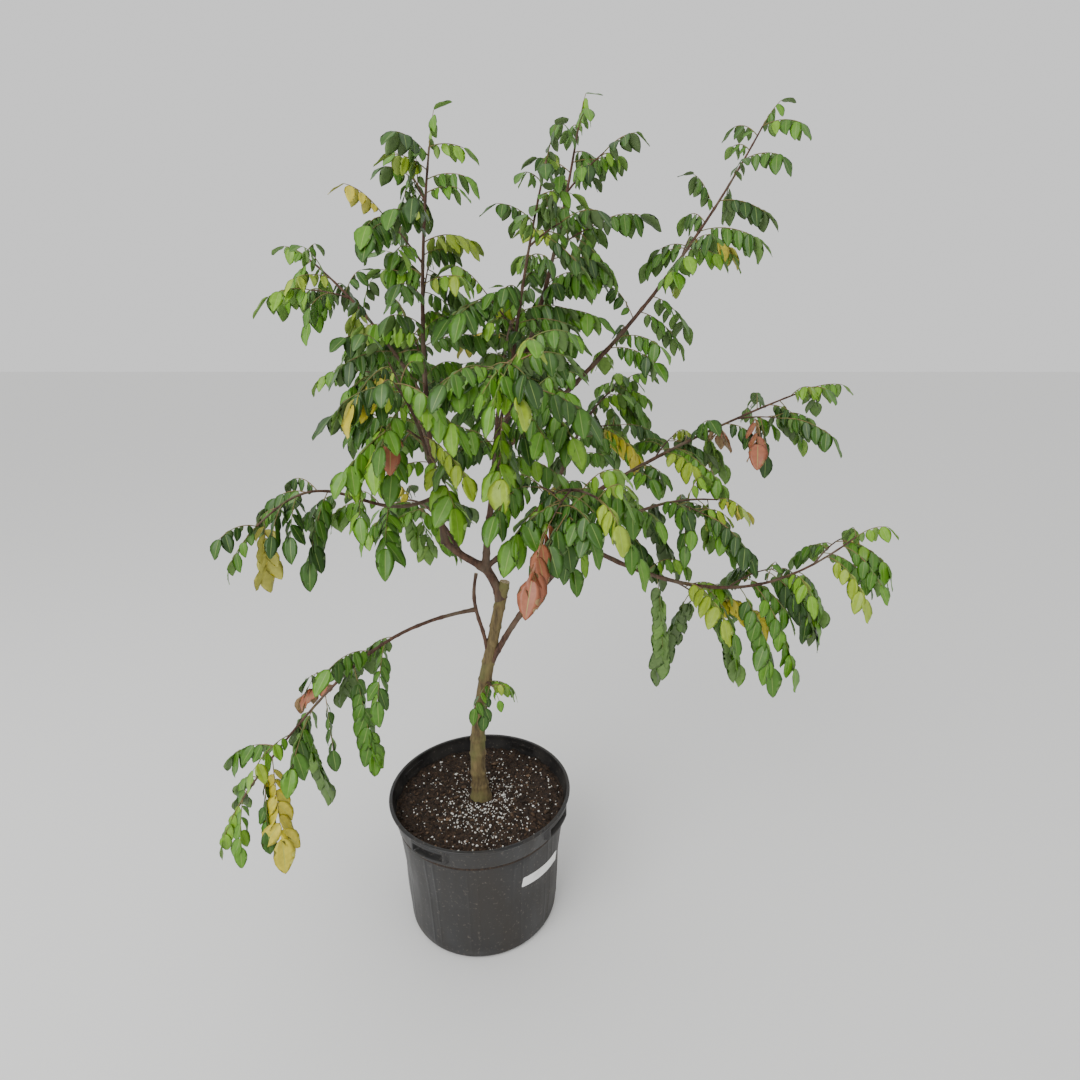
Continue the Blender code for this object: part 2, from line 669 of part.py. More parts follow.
def grow(part):
    """The mass's twigs and leaf stalks by the seeded rule.

    Nodes follow the stem at even steps and turn by the golden angle.  A few carry
    a twig, with three leaves of its own, and the rest a leaf.  Each leaf is the
    number of its twig, or -1 on the stem, and the line of its stalk.
    """
    rng = random.Random(part.seed)
    stem = stem_points(BY_NAME[part.limb], STEM_POINTS)
    length = np.linalg.norm(np.diff(stem, axis=0), axis=1).sum()
    count = max(2, round(length / part.step))
    twig_nodes = [round((order + 0.6) * 0.8 * count / part.twigs) for order in range(part.twigs)]
    turn = rng.uniform(0, 2 * math.pi)
    twigs = []
    leaves = []
    for index in range(count):
        share = (index + 0.75) / (count + 0.2)
        place = min(int(share * STEM_POINTS), STEM_POINTS - 2)
        tangent = unit(stem[place + 1] - stem[place])
        turn += math.radians(GOLDEN_ANGLE + rng.uniform(-TURN_SPREAD, TURN_SPREAD))
        direction = side_direction(tangent, turn, LEAF_FORWARD)
        youth = max(0.0, share - 0.6) / 0.4
        stalk = part.leaf * rng.uniform(0.85, 1.15) * (1.0 - 0.35 * youth)
        if index not in twig_nodes:
            leaves.append((-1, drooping(stem[place], direction, stalk, part.droop)))
            continue
        size = part.twig * (1.1 - 0.5 * share) * rng.uniform(0.85, 1.1)
        direction = side_direction(tangent, turn, TWIG_FORWARD)
        twig = drooping(stem[place], direction, size, TWIG_DROOP * part.droop)
        for order, at in enumerate(TWIG_NODES):
            along = unit(twig[at] - twig[at - 1])
            leaf_turn = turn + math.pi * order + rng.uniform(-0.4, 0.4)
            heading = side_direction(along, leaf_turn, LEAF_FORWARD)
            if at == STALK_POINTS - 1:
                heading = unit(along + 0.2 * UP)
            size = stalk * rng.uniform(0.75, 1.0)
            leaves.append((len(twigs), drooping(twig[at], heading, size, part.droop)))
        twigs.append(twig)
    tangent = unit(stem[-1] - stem[-2])
    leaves.append((-1, drooping(stem[-1], tangent, 0.6 * part.leaf, 0.6 * part.droop)))
    return twigs, leaves


@dataclass
class Blade:
    """A flat leaf: its root, the direction it hangs in, and the one across it."""
    root: np.ndarray
    axis: np.ndarray
    across: np.ndarray
    length: float

    @property
    def width(self):
        """Width at the widest part."""
        return BLADE_WIDTH_SHARE * self.length

    def outline(self):
        """Its corners, its middle and the middles of its edges."""
        middle = self.root + BLADE_WIDEST * self.length * self.axis
        corners = np.array([self.root, middle + 0.5 * self.width * self.across,
                            self.root + self.length * self.axis,
                            middle - 0.5 * self.width * self.across])
        return np.vstack([corners, (corners + np.roll(corners, -1, axis=0)) / 2, middle])

    def mesh(self):
        """Eight faces: an octahedron drawn out, thickest where it is widest."""
        normal = np.cross(self.axis, self.across)
        edit = bmesh.new()
        made = bmesh.ops.create_uvsphere(edit, u_segments=4, v_segments=2, radius=1.0)
        for vert in made["verts"]:
            along = {1: 1.0, 0: BLADE_WIDEST, -1: 0.0}[round(vert.co.z)]
            vert.co = Vector(self.root + along * self.length * self.axis
                             + 0.5 * vert.co.x * self.width * self.across
                             + 0.5 * vert.co.y * BLADE_THICKNESS * normal)
        bmesh.ops.recalc_face_normals(edit, faces=edit.faces)
        mesh = bpy.data.meshes.new("blade")
        edit.to_mesh(mesh)
        edit.free()
        return mesh


def leaf_blades(stalk, leaf, hand, seed):
    """The blade that hangs under a stalk, on its left or right, and the one at its tip."""
    rng = random.Random(seed)
    tangent = unit(stalk[SIDE_BLADE_AT] - stalk[SIDE_BLADE_AT - 1])
    side = unit(np.cross(tangent, UP))
    spread = hand * math.radians(rng.uniform(22, 42))
    axis = unit(side * math.sin(spread) - UP * math.cos(spread) + rng.uniform(0.2, 0.5) * tangent)
    across = unit(tangent - (tangent @ axis) * axis)
    root = stalk[SIDE_BLADE_AT] - BLADE_SUNK * axis
    hung = Blade(root, axis, across, SIDE_BLADE_SHARE * leaf * rng.uniform(0.88, 1.12))
    tangent = unit(stalk[-1] - stalk[-2])
    side = unit(np.cross(tangent, UP))
    axis = unit(tangent - rng.uniform(0.5, 0.9) * UP)
    across = side + rng.uniform(-0.5, 0.5) * UP
    across = unit(across - (across @ axis) * axis)
    root = stalk[-1] - 2 * BLADE_SUNK * tangent
    return [hung, Blade(root, axis, across, END_BLADE_SHARE * leaf * rng.uniform(0.88, 1.12))]


def fitted_leaf(part, space, stalk, hand, seed):
    """A leaf's stalk and blades at the first size that keeps to the mass's space."""
    for size in LEAF_SIZES:
        line = stalk[0] + size * (stalk - stalk[0])
        if not space.in_cell(part.limb, line[1:]) or not space.rod_is_clear(line[2:], STALK_RADIUS):
            continue
        kept = [blade for blade in leaf_blades(line, size * part.leaf, hand, seed)
                if space.in_cell(part.limb, blade.outline()) and space.blade_is_clear(blade)]
        if len(kept) == 2:
            return line, kept
    return None, []


def mass_pieces(part, space):
    """Meshes of the twigs, stalks and blades that keep to the mass's own space."""
    twigs, leaves = grow(part)
    pieces = []
    kept_twigs = []
    for twig in twigs:
        kept = space.in_cell(part.limb, twig[1:]) and space.rod_is_clear(twig[1:], TWIG_RADII[0])
        kept_twigs.append(kept)
        if kept:
            pieces.append(tube_mesh("twig", twig[RINGS], TWIG_RADII, TWIG_SIDES))
    for index, (host, stalk) in enumerate(leaves):
        if host >= 0 and not kept_twigs[host]:
            continue
        hand = 1 if index % 2 else -1
        line, blades = fitted_leaf(part, space, stalk, hand, BLADE_SEED * part.seed + index)
        if blades:
            radii = [STALK_RADIUS] * len(RINGS)
            pieces.append(tube_mesh("stalk", line[RINGS], radii, TWIG_SIDES))
            pieces += [blade.mesh() for blade in blades]
    return pieces


def build_mass(part, group, space, trunk_sleeve, finish):
    """One mass: its stem joined with everything that branches from it."""
    limb = BY_NAME[part.limb]
    shares = limb_shares(limb, limb.bare, 1.0, STEM_STEP)
    points = limb_line(limb, shares)
    radii = limb_radii(limb, shares)
    if limb.bare > 0.0:
        bough = limb_line(limb, limb_shares(limb, 0.0, limb.bare, BOUGH_STEP))
        outward = unit(bough[-1] - bough[-2])
        square_end = [bough[-1] + reach * outward for reach in (GAP, SEAT)]
        points = np.vstack([square_end, points[1:]])
        radii = np.insert(radii, 0, radii[0])
    name = "foliage_" + part.limb
    mesh = tube_mesh(name, points, radii, STEM_SIDES)
    item = add_object(name, mesh, group, finish)
    growth = collection("growth")
    for piece in mass_pieces(part, space):
        add_object("piece", piece, growth)
    join = item.modifiers.new("join", "BOOLEAN")
    join.operation = "UNION"
    join.solver = "EXACT"
    join.operand_type = "COLLECTION"
    join.collection = growth
    bake(item)
    for piece in list(growth.objects):
        bpy.data.objects.remove(piece)
    bpy.data.collections.remove(growth)
    if limb.bare == 0.0:
        boolean(item, trunk_sleeve, "DIFFERENCE")
    keep_largest(item.data)
    item.data.materials.clear()
    item.data.materials.append(finish)
    return item


def build():
    """The whole plant in its pot."""
    clear_scene()
    tree = collection("potted_star_fruit_tree")
    cutters = collection("cutters")
    build_pot(tree, cutters)
    build_soil(tree)
    build_label(tree)
    trunk_sleeve = build_limbs(tree, cutters)
    leaf_green = material("leaf_green", (0.12, 0.27, 0.02), 0.45)
    space = Space()
    for part in FOLIAGE:
        build_mass(part, tree, space, trunk_sleeve, leaf_green)
    for item in list(cutters.objects):
        bpy.data.objects.remove(item)
    bpy.data.collections.remove(cutters)


build()
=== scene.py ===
"""A young star fruit tree in a round black nursery pot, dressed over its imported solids.

Metres, +Z up.  The origin is the centre of the pot's underside and the front faces -Y.
"""

import json
import math
import random
from dataclasses import dataclass

import bpy
import numpy as np
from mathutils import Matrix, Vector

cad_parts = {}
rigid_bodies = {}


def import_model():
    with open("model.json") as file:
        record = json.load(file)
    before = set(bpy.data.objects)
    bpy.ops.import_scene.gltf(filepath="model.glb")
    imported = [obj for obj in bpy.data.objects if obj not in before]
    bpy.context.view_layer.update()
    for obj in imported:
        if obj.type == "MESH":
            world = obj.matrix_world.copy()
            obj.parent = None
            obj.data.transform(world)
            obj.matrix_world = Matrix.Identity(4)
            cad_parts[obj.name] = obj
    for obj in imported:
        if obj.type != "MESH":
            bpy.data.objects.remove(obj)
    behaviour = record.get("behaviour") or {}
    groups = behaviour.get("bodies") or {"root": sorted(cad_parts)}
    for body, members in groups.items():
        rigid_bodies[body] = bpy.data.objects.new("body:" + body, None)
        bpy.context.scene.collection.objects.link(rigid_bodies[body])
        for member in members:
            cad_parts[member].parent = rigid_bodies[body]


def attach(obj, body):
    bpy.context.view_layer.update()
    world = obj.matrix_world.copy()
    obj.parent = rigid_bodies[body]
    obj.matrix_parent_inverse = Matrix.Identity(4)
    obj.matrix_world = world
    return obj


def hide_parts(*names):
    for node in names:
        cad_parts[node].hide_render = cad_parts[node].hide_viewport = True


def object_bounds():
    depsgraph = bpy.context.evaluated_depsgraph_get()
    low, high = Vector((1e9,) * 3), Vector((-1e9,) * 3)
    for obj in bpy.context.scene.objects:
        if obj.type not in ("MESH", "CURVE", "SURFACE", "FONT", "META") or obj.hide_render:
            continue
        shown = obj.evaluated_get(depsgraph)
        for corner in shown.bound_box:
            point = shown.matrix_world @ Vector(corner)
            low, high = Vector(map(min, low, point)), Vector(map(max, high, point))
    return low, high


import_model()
cad_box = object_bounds()


# The viewpoint: an eye level with the middle of the crown, 1.3 m in front of the trunk,
# looking 17 degrees down, as fitted to the pot's rim and heel.
IMAGE_SIDE = 1080
FOCAL_PIXELS = 630.0
OPTICAL_CENTRE = (552.0, 545.5)
EYE = (0.1707, -1.2694, 1.3261)
LOOKING_DOWN = 17.25

lens = bpy.data.cameras.new("camera")
lens.sensor_width = 36.0
lens.lens = lens.sensor_width * FOCAL_PIXELS / IMAGE_SIDE
lens.shift_x = (0.5 * IMAGE_SIDE - OPTICAL_CENTRE[0]) / IMAGE_SIDE
lens.shift_y = (OPTICAL_CENTRE[1] - 0.5 * IMAGE_SIDE) / IMAGE_SIDE
lens.clip_start = 0.05
lens.clip_end = 100.0
camera = bpy.data.objects.new("camera", lens)
camera.location = EYE
camera.rotation_euler = (math.radians(90.0 - LOOKING_DOWN), 0.0, 0.0)
bpy.context.scene.collection.objects.link(camera)
bpy.context.scene.camera = camera


# The studio: a wide pale floor under an even pale sky, and one large soft lamp from the
# upper left of the front, so that the crown is bright and its shadows stay open.
FLOOR_HALF = 40.0
FLOOR_COLOUR = (0.86, 0.86, 0.85)
SKY_COLOUR = (1.0, 1.0, 1.0)
SKY_STRENGTH = 0.95
LAMP_SIZE = 3.2
LAMP_POWER = 130.0
LAMP_PLACE = (-1.9, -2.9, 3.4)
LAMP_AIM = (0.1, 0.0, 0.9)


def principled(name, colour, roughness):
    """A material with a Principled shader of one colour and roughness, and its nodes."""
    made = bpy.data.materials.new(name)
    made.use_nodes = True
    shader = made.node_tree.nodes["Principled BSDF"]
    shader.inputs["Base Color"].default_value = (*colour, 1.0)
    shader.inputs["Roughness"].default_value = roughness
    made.diffuse_color = (*colour, 1.0)
    return made, shader


floor_mesh = bpy.data.meshes.new("floor")
floor_corners = FLOOR_HALF * np.array([[-1, -1, 0], [1, -1, 0], [1, 1, 0], [-1, 1, 0]], float)
floor_mesh.from_pydata(floor_corners.tolist(), [], [[0, 1, 2, 3]])
floor = bpy.data.objects.new("floor", floor_mesh)
bpy.context.scene.collection.objects.link(floor)
floor_mesh.materials.append(principled("floor_paint", FLOOR_COLOUR, 0.9)[0])

sky = bpy.data.worlds.new("sky")
sky.use_nodes = True
sky.node_tree.nodes["Background"].inputs["Color"].default_value = (*SKY_COLOUR, 1.0)
sky.node_tree.nodes["Background"].inputs["Strength"].default_value = SKY_STRENGTH
bpy.context.scene.world = sky

lamp_data = bpy.data.lights.new("soft_lamp", "AREA")
lamp_data.size = LAMP_SIZE
lamp_data.energy = LAMP_POWER
lamp = bpy.data.objects.new("soft_lamp", lamp_data)
lamp.location = LAMP_PLACE
lamp_way = np.array(LAMP_AIM) - np.array(LAMP_PLACE)
lamp.rotation_euler = (math.acos(lamp_way[2] / np.linalg.norm(lamp_way)) - math.pi, 0.0,
                       math.atan2(lamp_way[1], lamp_way[0]) + math.pi / 2)
bpy.context.scene.collection.objects.link(lamp)


# The pot: one blow-moulded shell of black polyethylene, with a turned-out lip, a flared
# band, four finger grips under the lip, thin upright ribs, and drain holes in its floor.
POT_HEIGHT = 0.330
POT_FLOOR = 0.004
POT_WALL = 0.003
HEEL_RADIUS = 0.179
HEEL_ROUNDING = 0.014
WALL_HEIGHTS = (0.0, 0.150, 0.271, 0.277, 0.320, 0.330)
WALL_RADII = (0.1790, 0.1850, 0.1955, 0.1985, 0.2085, 0.2085)
LIP_RADIUS = 0.2135
LIP_ROUNDING = 0.0028
GRIP_ANGLES = (-117.0, -27.0, 63.0, 153.0)
GRIP_RADIUS = 0.2120
GRIP_HALF_ANGLE = 13.6
GRIP_HEIGHTS = (0.289, 0.321)
SLOT_HALF_ANGLE = 10.4
SLOT_HEIGHTS = (0.2975, 0.3155)
SLOT_DEPTH = 0.0125
RIB_PAIRS = 12
RIB_OFFSET = 3.2
RIB_WIDTH = 0.55
RIB_HEIGHT = 0.0011
DENT_DEPTH = 0.0012
DRAIN_RING = 0.135
DRAIN_RADIUS = 0.008
DRAIN_DEPTH = 0.0036
POT_COLUMNS = 480


def smooth_step(value, low, high):
    """0 below low, 1 above high, and 3t^2 - 2t^3 between them."""
    share = np.clip((value - low) / (high - low), 0.0, 1.0)
    return share * share * (3.0 - 2.0 * share)


def ripples(points, wavelength, seed, count=28):
    """A sum of sines in random directions whose waves are about one wavelength long."""
    draw = np.random.default_rng(seed)
    ways = draw.normal(size=(count, points.shape[-1]))
    ways *= 2 * math.pi / (wavelength * np.linalg.norm(ways, axis=1))[:, None]
    ways *= draw.uniform(0.6, 1.7, count)[:, None]
    phases = draw.uniform(0, 2 * math.pi, count)
    return np.sin(points @ ways.T + phases).sum(-1) / math.sqrt(count / 2)


def piece(name, points, faces, materials, kinds=None, smooth=True):
    """A mesh object from points and lists of equal-sided face arrays.

    kinds gives each face's material, in the order of the faces.
    """
    mesh = bpy.data.meshes.new(name)
    points = np.ascontiguousarray(points, dtype=np.float32).reshape(-1, 3)
    faces = [np.asarray(rows, dtype=np.int32) for rows in faces if len(rows)]
    sizes = np.concatenate([np.full(len(rows), rows.shape[1]) for rows in faces])
    corners = np.concatenate([rows.ravel() for rows in faces])
    mesh.vertices.add(len(points))
    mesh.vertices.foreach_set("co", points.ravel())
    mesh.loops.add(len(corners))
    mesh.loops.foreach_set("vertex_index", corners.astype(np.int32))
    mesh.polygons.add(len(sizes))
    starts = np.concatenate([[0], np.cumsum(sizes)[:-1]])
    mesh.polygons.foreach_set("loop_start", starts.astype(np.int32))
    if kinds is not None:
        mesh.polygons.foreach_set("material_index", np.asarray(kinds, dtype=np.int32))
    for finish in materials:
        mesh.materials.append(finish)
    mesh.update(calc_edges=True)
    mesh.validate()
    if smooth:
        mesh.shade_smooth()
    made = bpy.data.objects.new(name, mesh)
    bpy.context.scene.collection.objects.link(made)
    return made


def lathe_faces(rows, columns):
    """Quads of a closed ring grid, and triangle fans to a first and a last pole point.

    The points are one pole, then rows of columns, then the other pole.
    """
    start = 1 + np.arange(rows - 1)[:, None] * columns + np.arange(columns)[None]
    after = 1 + np.arange(rows - 1)[:, None] * columns + (np.arange(columns)[None] + 1) % columns
    quads = np.stack([start, after, after + columns, start + columns], -1).reshape(-1, 4)
    first = np.arange(columns) + 1
    second = (np.arange(columns) + 1) % columns + 1
    last_row = (rows - 1) * columns
    pole = np.full(columns, 1 + rows * columns)
    fans = np.concatenate([np.stack([second, first, np.zeros(columns, int)], -1),
                           np.stack([first + last_row, second + last_row, pole], -1)])
    return quads, fans


def pot_rows():
    """Radius and height of each ring, from the underside over the lip to the inner floor."""
    under = [np.linspace(0.010, 0.118, 8), np.linspace(0.123, 0.147, 21), np.linspace(0.152, 0.164, 3)]
    rows = [(radius, 0.0) for radius in np.concatenate(under)]
    for turn in np.radians(np.linspace(0, 90, 7)):
        rows.append((HEEL_RADIUS - HEEL_ROUNDING * (1 - math.sin(turn)),
                     HEEL_ROUNDING * (1 - math.cos(turn))))
    heights = np.concatenate([np.linspace(0.022, 0.266, 34), np.linspace(0.270, 0.284, 8),
                              np.linspace(0.286, 0.3205, 40)])
    rows += [(np.interp(height, WALL_HEIGHTS, WALL_RADII), height) for height in heights]
    for turn in np.radians(np.linspace(-90, 90, 9)):
        rows.append((LIP_RADIUS - LIP_ROUNDING * (1 - math.cos(turn)),
                     POT_HEIGHT - LIP_ROUNDING * (1 - math.sin(turn))))
    inner_lip = WALL_RADII[-1] - POT_WALL
    for turn in np.radians(np.linspace(90, 180, 4)):
        rows.append((inner_lip + 0.001 * (1 + math.cos(turn)), POT_HEIGHT - 0.001 * (1 - math.sin(turn))))
    for height in (0.324, 0.318, 0.310, 0.302, 0.290, 0.277, 0.271, 0.150, 0.020):
        rows.append((np.interp(height, WALL_HEIGHTS, WALL_RADII) - POT_WALL, height))
    rows += [(0.160, POT_FLOOR), (0.080, POT_FLOOR)]
    return np.array(rows)


def pot_points():
    """The rings turned about Z, then pushed by the ribs, dents, grips and drain holes."""
    rows = pot_rows()
    turns = np.linspace(0, 2 * math.pi, POT_COLUMNS, endpoint=False)
    degrees = np.degrees(turns)
    radius = np.repeat(rows[:, :1], POT_COLUMNS, axis=1)
    height = np.repeat(rows[:, 1:], POT_COLUMNS, axis=1)
    lip_row = int(np.argmax(rows[:, 0] > LIP_RADIUS - LIP_ROUNDING + 1e-6))
    outside = (np.arange(len(rows)) < lip_row)[:, None] & (height > HEEL_ROUNDING - 1e-6)

    spacing = 360.0 / RIB_PAIRS
    across = (degrees + spacing / 2) % spacing - spacing / 2
    ribs = sum(np.exp(-((across - side * RIB_OFFSET) / RIB_WIDTH) ** 2) for side in (-1, 1))
    window = smooth_step(height, 0.016, 0.030) * (1 - smooth_step(height, 0.262, 0.270))
    radius = radius + outside * window * RIB_HEIGHT * ribs[None]
    unrolled = np.stack([np.cos(turns)[None] * radius, np.sin(turns)[None] * radius, height], -1)
    dents = ripples(unrolled, 0.16, 3) * window * DENT_DEPTH
    radius = radius + dents * (outside | (height > HEEL_ROUNDING))

    for angle in GRIP_ANGLES:
        away = np.abs((degrees - angle + 180) % 360 - 180)[None]
        lug = ((1 - smooth_step(away, GRIP_HALF_ANGLE - 1.6, GRIP_HALF_ANGLE))
               * smooth_step(height, GRIP_HEIGHTS[0] - 0.001, GRIP_HEIGHTS[0] + 0.003)
               * (height < GRIP_HEIGHTS[1]))
        radius = radius + outside * lug * np.maximum(GRIP_RADIUS - radius, 0.0)
        slot = ((1 - smooth_step(away, SLOT_HALF_ANGLE - 0.9, SLOT_HALF_ANGLE))
                * smooth_step(height, SLOT_HEIGHTS[0] - 0.0012, SLOT_HEIGHTS[0] + 0.0004)
                * (1 - smooth_step(height, SLOT_HEIGHTS[1] - 0.0004, SLOT_HEIGHTS[1] + 0.0012)))
        radius = radius - outside * slot * np.minimum(SLOT_DEPTH, np.maximum(radius - 0.2015, 0.0))

    points = np.stack([radius * np.cos(turns), radius * np.sin(turns), height], -1)
    under = rows[:, 1] == 0.0
    for quarter in range(4):
        centre = DRAIN_RING * np.array([math.cos(quarter * math.pi / 2), math.sin(quarter * math.pi / 2)])
        away = np.linalg.norm(points[under][..., :2] - centre, axis=-1)
        points[under, :, 2] += DRAIN_DEPTH * (1 - smooth_step(away, DRAIN_RADIUS - 0.001, DRAIN_RADIUS))
    flat = points.reshape(-1, 3)
    return np.vstack([[[0, 0, 0]], flat, [[0, 0, POT_FLOOR]]]), len(rows)


def mottle_group():
    """Shader group: a soft noise on Object coordinates, spread between two colours.

    Amount is the noise after its contrast, from 0 to 1, and Colour mixes Low and High by it.
    """
    group = bpy.data.node_groups.new("mottle", "ShaderNodeTree")
    for label, kind, value in (("Low", "NodeSocketColor", (0, 0, 0, 1)),
                               ("High", "NodeSocketColor", (1, 1, 1, 1)),
                               ("Scale", "NodeSocketFloat", 10.0),
                               ("Stretch", "NodeSocketVector", (1, 1, 1)),
                               ("From", "NodeSocketFloat", 0.3),
                               ("To", "NodeSocketFloat", 0.7)):
        group.interface.new_socket(label, in_out="INPUT", socket_type=kind).default_value = value
    group.interface.new_socket("Colour", in_out="OUTPUT", socket_type="NodeSocketColor")
    group.interface.new_socket("Amount", in_out="OUTPUT", socket_type="NodeSocketFloat")
    nodes, links = group.nodes, group.links
    given = nodes.new("NodeGroupInput")
    handed = nodes.new("NodeGroupOutput")
    place = nodes.new("ShaderNodeTexCoord")
    stretch = nodes.new("ShaderNodeVectorMath")
    stretch.operation = "MULTIPLY"
    noise = nodes.new("ShaderNodeTexNoise")
    noise.inputs["Detail"].default_value = 6.0
    contrast = nodes.new("ShaderNodeMapRange")
    blend = nodes.new("ShaderNodeMix")
    blend.data_type = "RGBA"
    links.new(place.outputs["Object"], stretch.inputs[0])
    links.new(given.outputs["Stretch"], stretch.inputs[1])
    links.new(stretch.outputs["Vector"], noise.inputs["Vector"])
    links.new(given.outputs["Scale"], noise.inputs["Scale"])
    links.new(noise.outputs["Fac"], contrast.inputs["Value"])
    links.new(given.outputs["From"], contrast.inputs["From Min"])
    links.new(given.outputs["To"], contrast.inputs["From Max"])
    links.new(contrast.outputs["Result"], blend.inputs["Factor"])
    links.new(given.outputs["Low"], blend.inputs["A"])
    links.new(given.outputs["High"], blend.inputs["B"])
    links.new(blend.outputs["Result"], handed.inputs["Colour"])
    links.new(contrast.outputs["Result"], handed.inputs["Amount"])
    return group


MOTTLE = mottle_group()


def mottle(material, low, high, scale, spread=(0.3, 0.7), stretch=(1, 1, 1)):
    """Place the mottle group in a material, with its own values."""
    node = material.node_tree.nodes.new("ShaderNodeGroup")
    node.node_tree = MOTTLE
    node.inputs["Low"].default_value = (*low, 1.0)
    node.inputs["High"].default_value = (*high, 1.0)
    node.inputs["Scale"].default_value = scale
    node.inputs["Stretch"].default_value = stretch
    node.inputs["From"].default_value = spread[0]
    node.inputs["To"].default_value = spread[1]
    return node


def bump(material, shader, source, strength, distance):
    """Feed a height output into the shader's normal."""
    node = material.node_tree.nodes.new("ShaderNodeBump")
    node.inputs["Strength"].default_value = strength
    node.inputs["Distance"].default_value = distance
    material.node_tree.links.new(source, node.inputs["Height"])
    material.node_tree.links.new(node.outputs["Normal"], shader.inputs["Normal"])


def pot_plastic():
    """Black plastic under a brown-grey film of dust that lies in upright streaks."""
    made, shader = principled("pot_plastic", (0.012, 0.012, 0.013), 0.5)
    links = made.node_tree.links
    film = mottle(made, (0.010, 0.010, 0.011), (0.030, 0.026, 0.022), 16.0, (0.35, 0.72), (1, 1, 0.22))
    specks = mottle(made, (0, 0, 0), (0.075, 0.062, 0.050), 150.0, (0.60, 0.74))
    mix = made.node_tree.nodes.new("ShaderNodeMix")
    mix.data_type = "RGBA"
    mix.blend_type = "ADD"
    mix.inputs["Factor"].default_value = 1.0
    links.new(film.outputs["Colour"], mix.inputs["A"])
    links.new(specks.outputs["Colour"], mix.inputs["B"])
    links.new(mix.outputs["Result"], shader.inputs["Base Color"])
    polish = made.node_tree.nodes.new("ShaderNodeMapRange")
    polish.inputs["To Min"].default_value = 0.36
    polish.inputs["To Max"].default_value = 0.72
    links.new(film.outputs["Amount"], polish.inputs["Value"])
    links.new(polish.outputs["Result"], shader.inputs["Roughness"])
    bump(made, shader, specks.outputs["Amount"], 0.25, 0.0004)
    return made


pot_mesh_points, pot_row_count = pot_points()
pot = piece("nursery_pot", pot_mesh_points, lathe_faces(pot_row_count, POT_COLUMNS), [pot_plastic()])
pot.data.set_sharp_from_angle(angle=math.radians(55))
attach(pot, "root")
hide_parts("pot")


# The sticker: a blank strip of white coated paper with rounded corners, pressed round the
# pot's wall a little out of level, its right end just lifting.
STICKER_LENGTH = 0.122
STICKER_HEIGHT = 0.027
STICKER_CORNER = 0.0035
STICKER_ANGLE = -38.0
STICKER_MIDDLE = 0.193
STICKER_TILT = -6.0
STICKER_THICKNESS = 0.0005
STICKER_LIFT = 0.0010


def sticker_points(columns, rows):
    """A flat grid whose four corners are rounded, tilted, and wrapped round the wall.

    In a corner's square the grid is drawn in by the larger of its two offsets over their
    length, which turns the square into a quarter disc.
    """
    along, up = np.meshgrid(np.linspace(-0.5, 0.5, columns) * STICKER_LENGTH,
                            np.linspace(-0.5, 0.5, rows) * STICKER_HEIGHT, indexing="ij")
    out_x = np.maximum(np.abs(along) - STICKER_LENGTH / 2 + STICKER_CORNER, 0)
    out_y = np.maximum(np.abs(up) - STICKER_HEIGHT / 2 + STICKER_CORNER, 0)
    draw_in = np.maximum(out_x, out_y) / np.maximum(np.hypot(out_x, out_y), 1e-9)
    draw_in = np.where((out_x > 0) & (out_y > 0), draw_in, 1.0)
    along = along - np.sign(along) * out_x * (1 - draw_in)
    up = up - np.sign(up) * out_y * (1 - draw_in)
    tilt = math.radians(STICKER_TILT)
    height = STICKER_MIDDLE + along * math.sin(tilt) + up * math.cos(tilt)
    shift = along * math.cos(tilt) - up * math.sin(tilt)
    wall = np.interp(height, WALL_HEIGHTS, WALL_RADII)
    radius = wall + 0.0012 + STICKER_LIFT * smooth_step(along, 0.40 * STICKER_LENGTH, 0.5 * STICKER_LENGTH)
    turn = math.radians(STICKER_ANGLE) + shift / wall
    return np.stack([radius * np.cos(turn), radius * np.sin(turn), height], -1)


def grid_faces(columns, rows):
    """Quads of an open grid whose points run row by row inside each column."""
    start = np.arange(columns - 1)[:, None] * rows + np.arange(rows - 1)[None]
    return np.stack([start, start + rows, start + rows + 1, start + 1], -1).reshape(-1, 4)


sticker_paper, sticker_shader = principled("sticker_paper", (0.86, 0.86, 0.84), 0.45)
sticker_soil = mottle(sticker_paper, (0.74, 0.73, 0.70), (0.88, 0.88, 0.86), 38.0, (0.30, 0.48))
sticker_paper.node_tree.links.new(sticker_soil.outputs["Colour"], sticker_shader.inputs["Base Color"])
bump(sticker_paper, sticker_shader, sticker_soil.outputs["Amount"], 0.15, 0.0003)
STICKER_GRID = (64, 14)
sticker = piece("blank_sticker", sticker_points(*STICKER_GRID), [grid_faces(*STICKER_GRID)],
                [sticker_paper])
sticker_body = sticker.modifiers.new("thickness", "SOLIDIFY")
sticker_body.thickness = STICKER_THICKNESS
sticker_body.offset = 0.0
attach(sticker, "root")
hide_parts("pot_label")


# The potting mix: dark moist bark and peat, loosely crumbled, settled a little at the wall.
# On it lie bark chips, and white perlite that has washed up round the trunk and in front.
MIX_TOP = 0.3030
MIX_EDGE_DROP = 0.0075
MIX_SEAT = 0.030
MIX_RADIUS = 0.2003
MIX_ROWS = 96
MIX_COLUMNS = 260
CHIP_COUNT = 1900
CHIP_BROWNS = ((0.020, 0.011, 0.006), (0.045, 0.024, 0.013), (0.085, 0.050, 0.028), (0.16, 0.10, 0.06))
PERLITE_COUNT = 900


def mix_height(x, y):
    """Height of the crumbled surface: a low dome with waves of three lengths on it."""
    flat = np.stack([x, y], -1)
    radius = np.hypot(x, y)
    crumbs = (0.0016 * ripples(flat, 0.050, 11) + 0.0011 * ripples(flat, 0.018, 12)
              + 0.0008 * ripples(flat, 0.007, 13))
    dome = MIX_TOP - 0.002 - MIX_EDGE_DROP * (radius / MIX_RADIUS) ** 2.5
    return dome + crumbs * smooth_step(radius, 0.6 * MIX_SEAT, 1.5 * MIX_SEAT)


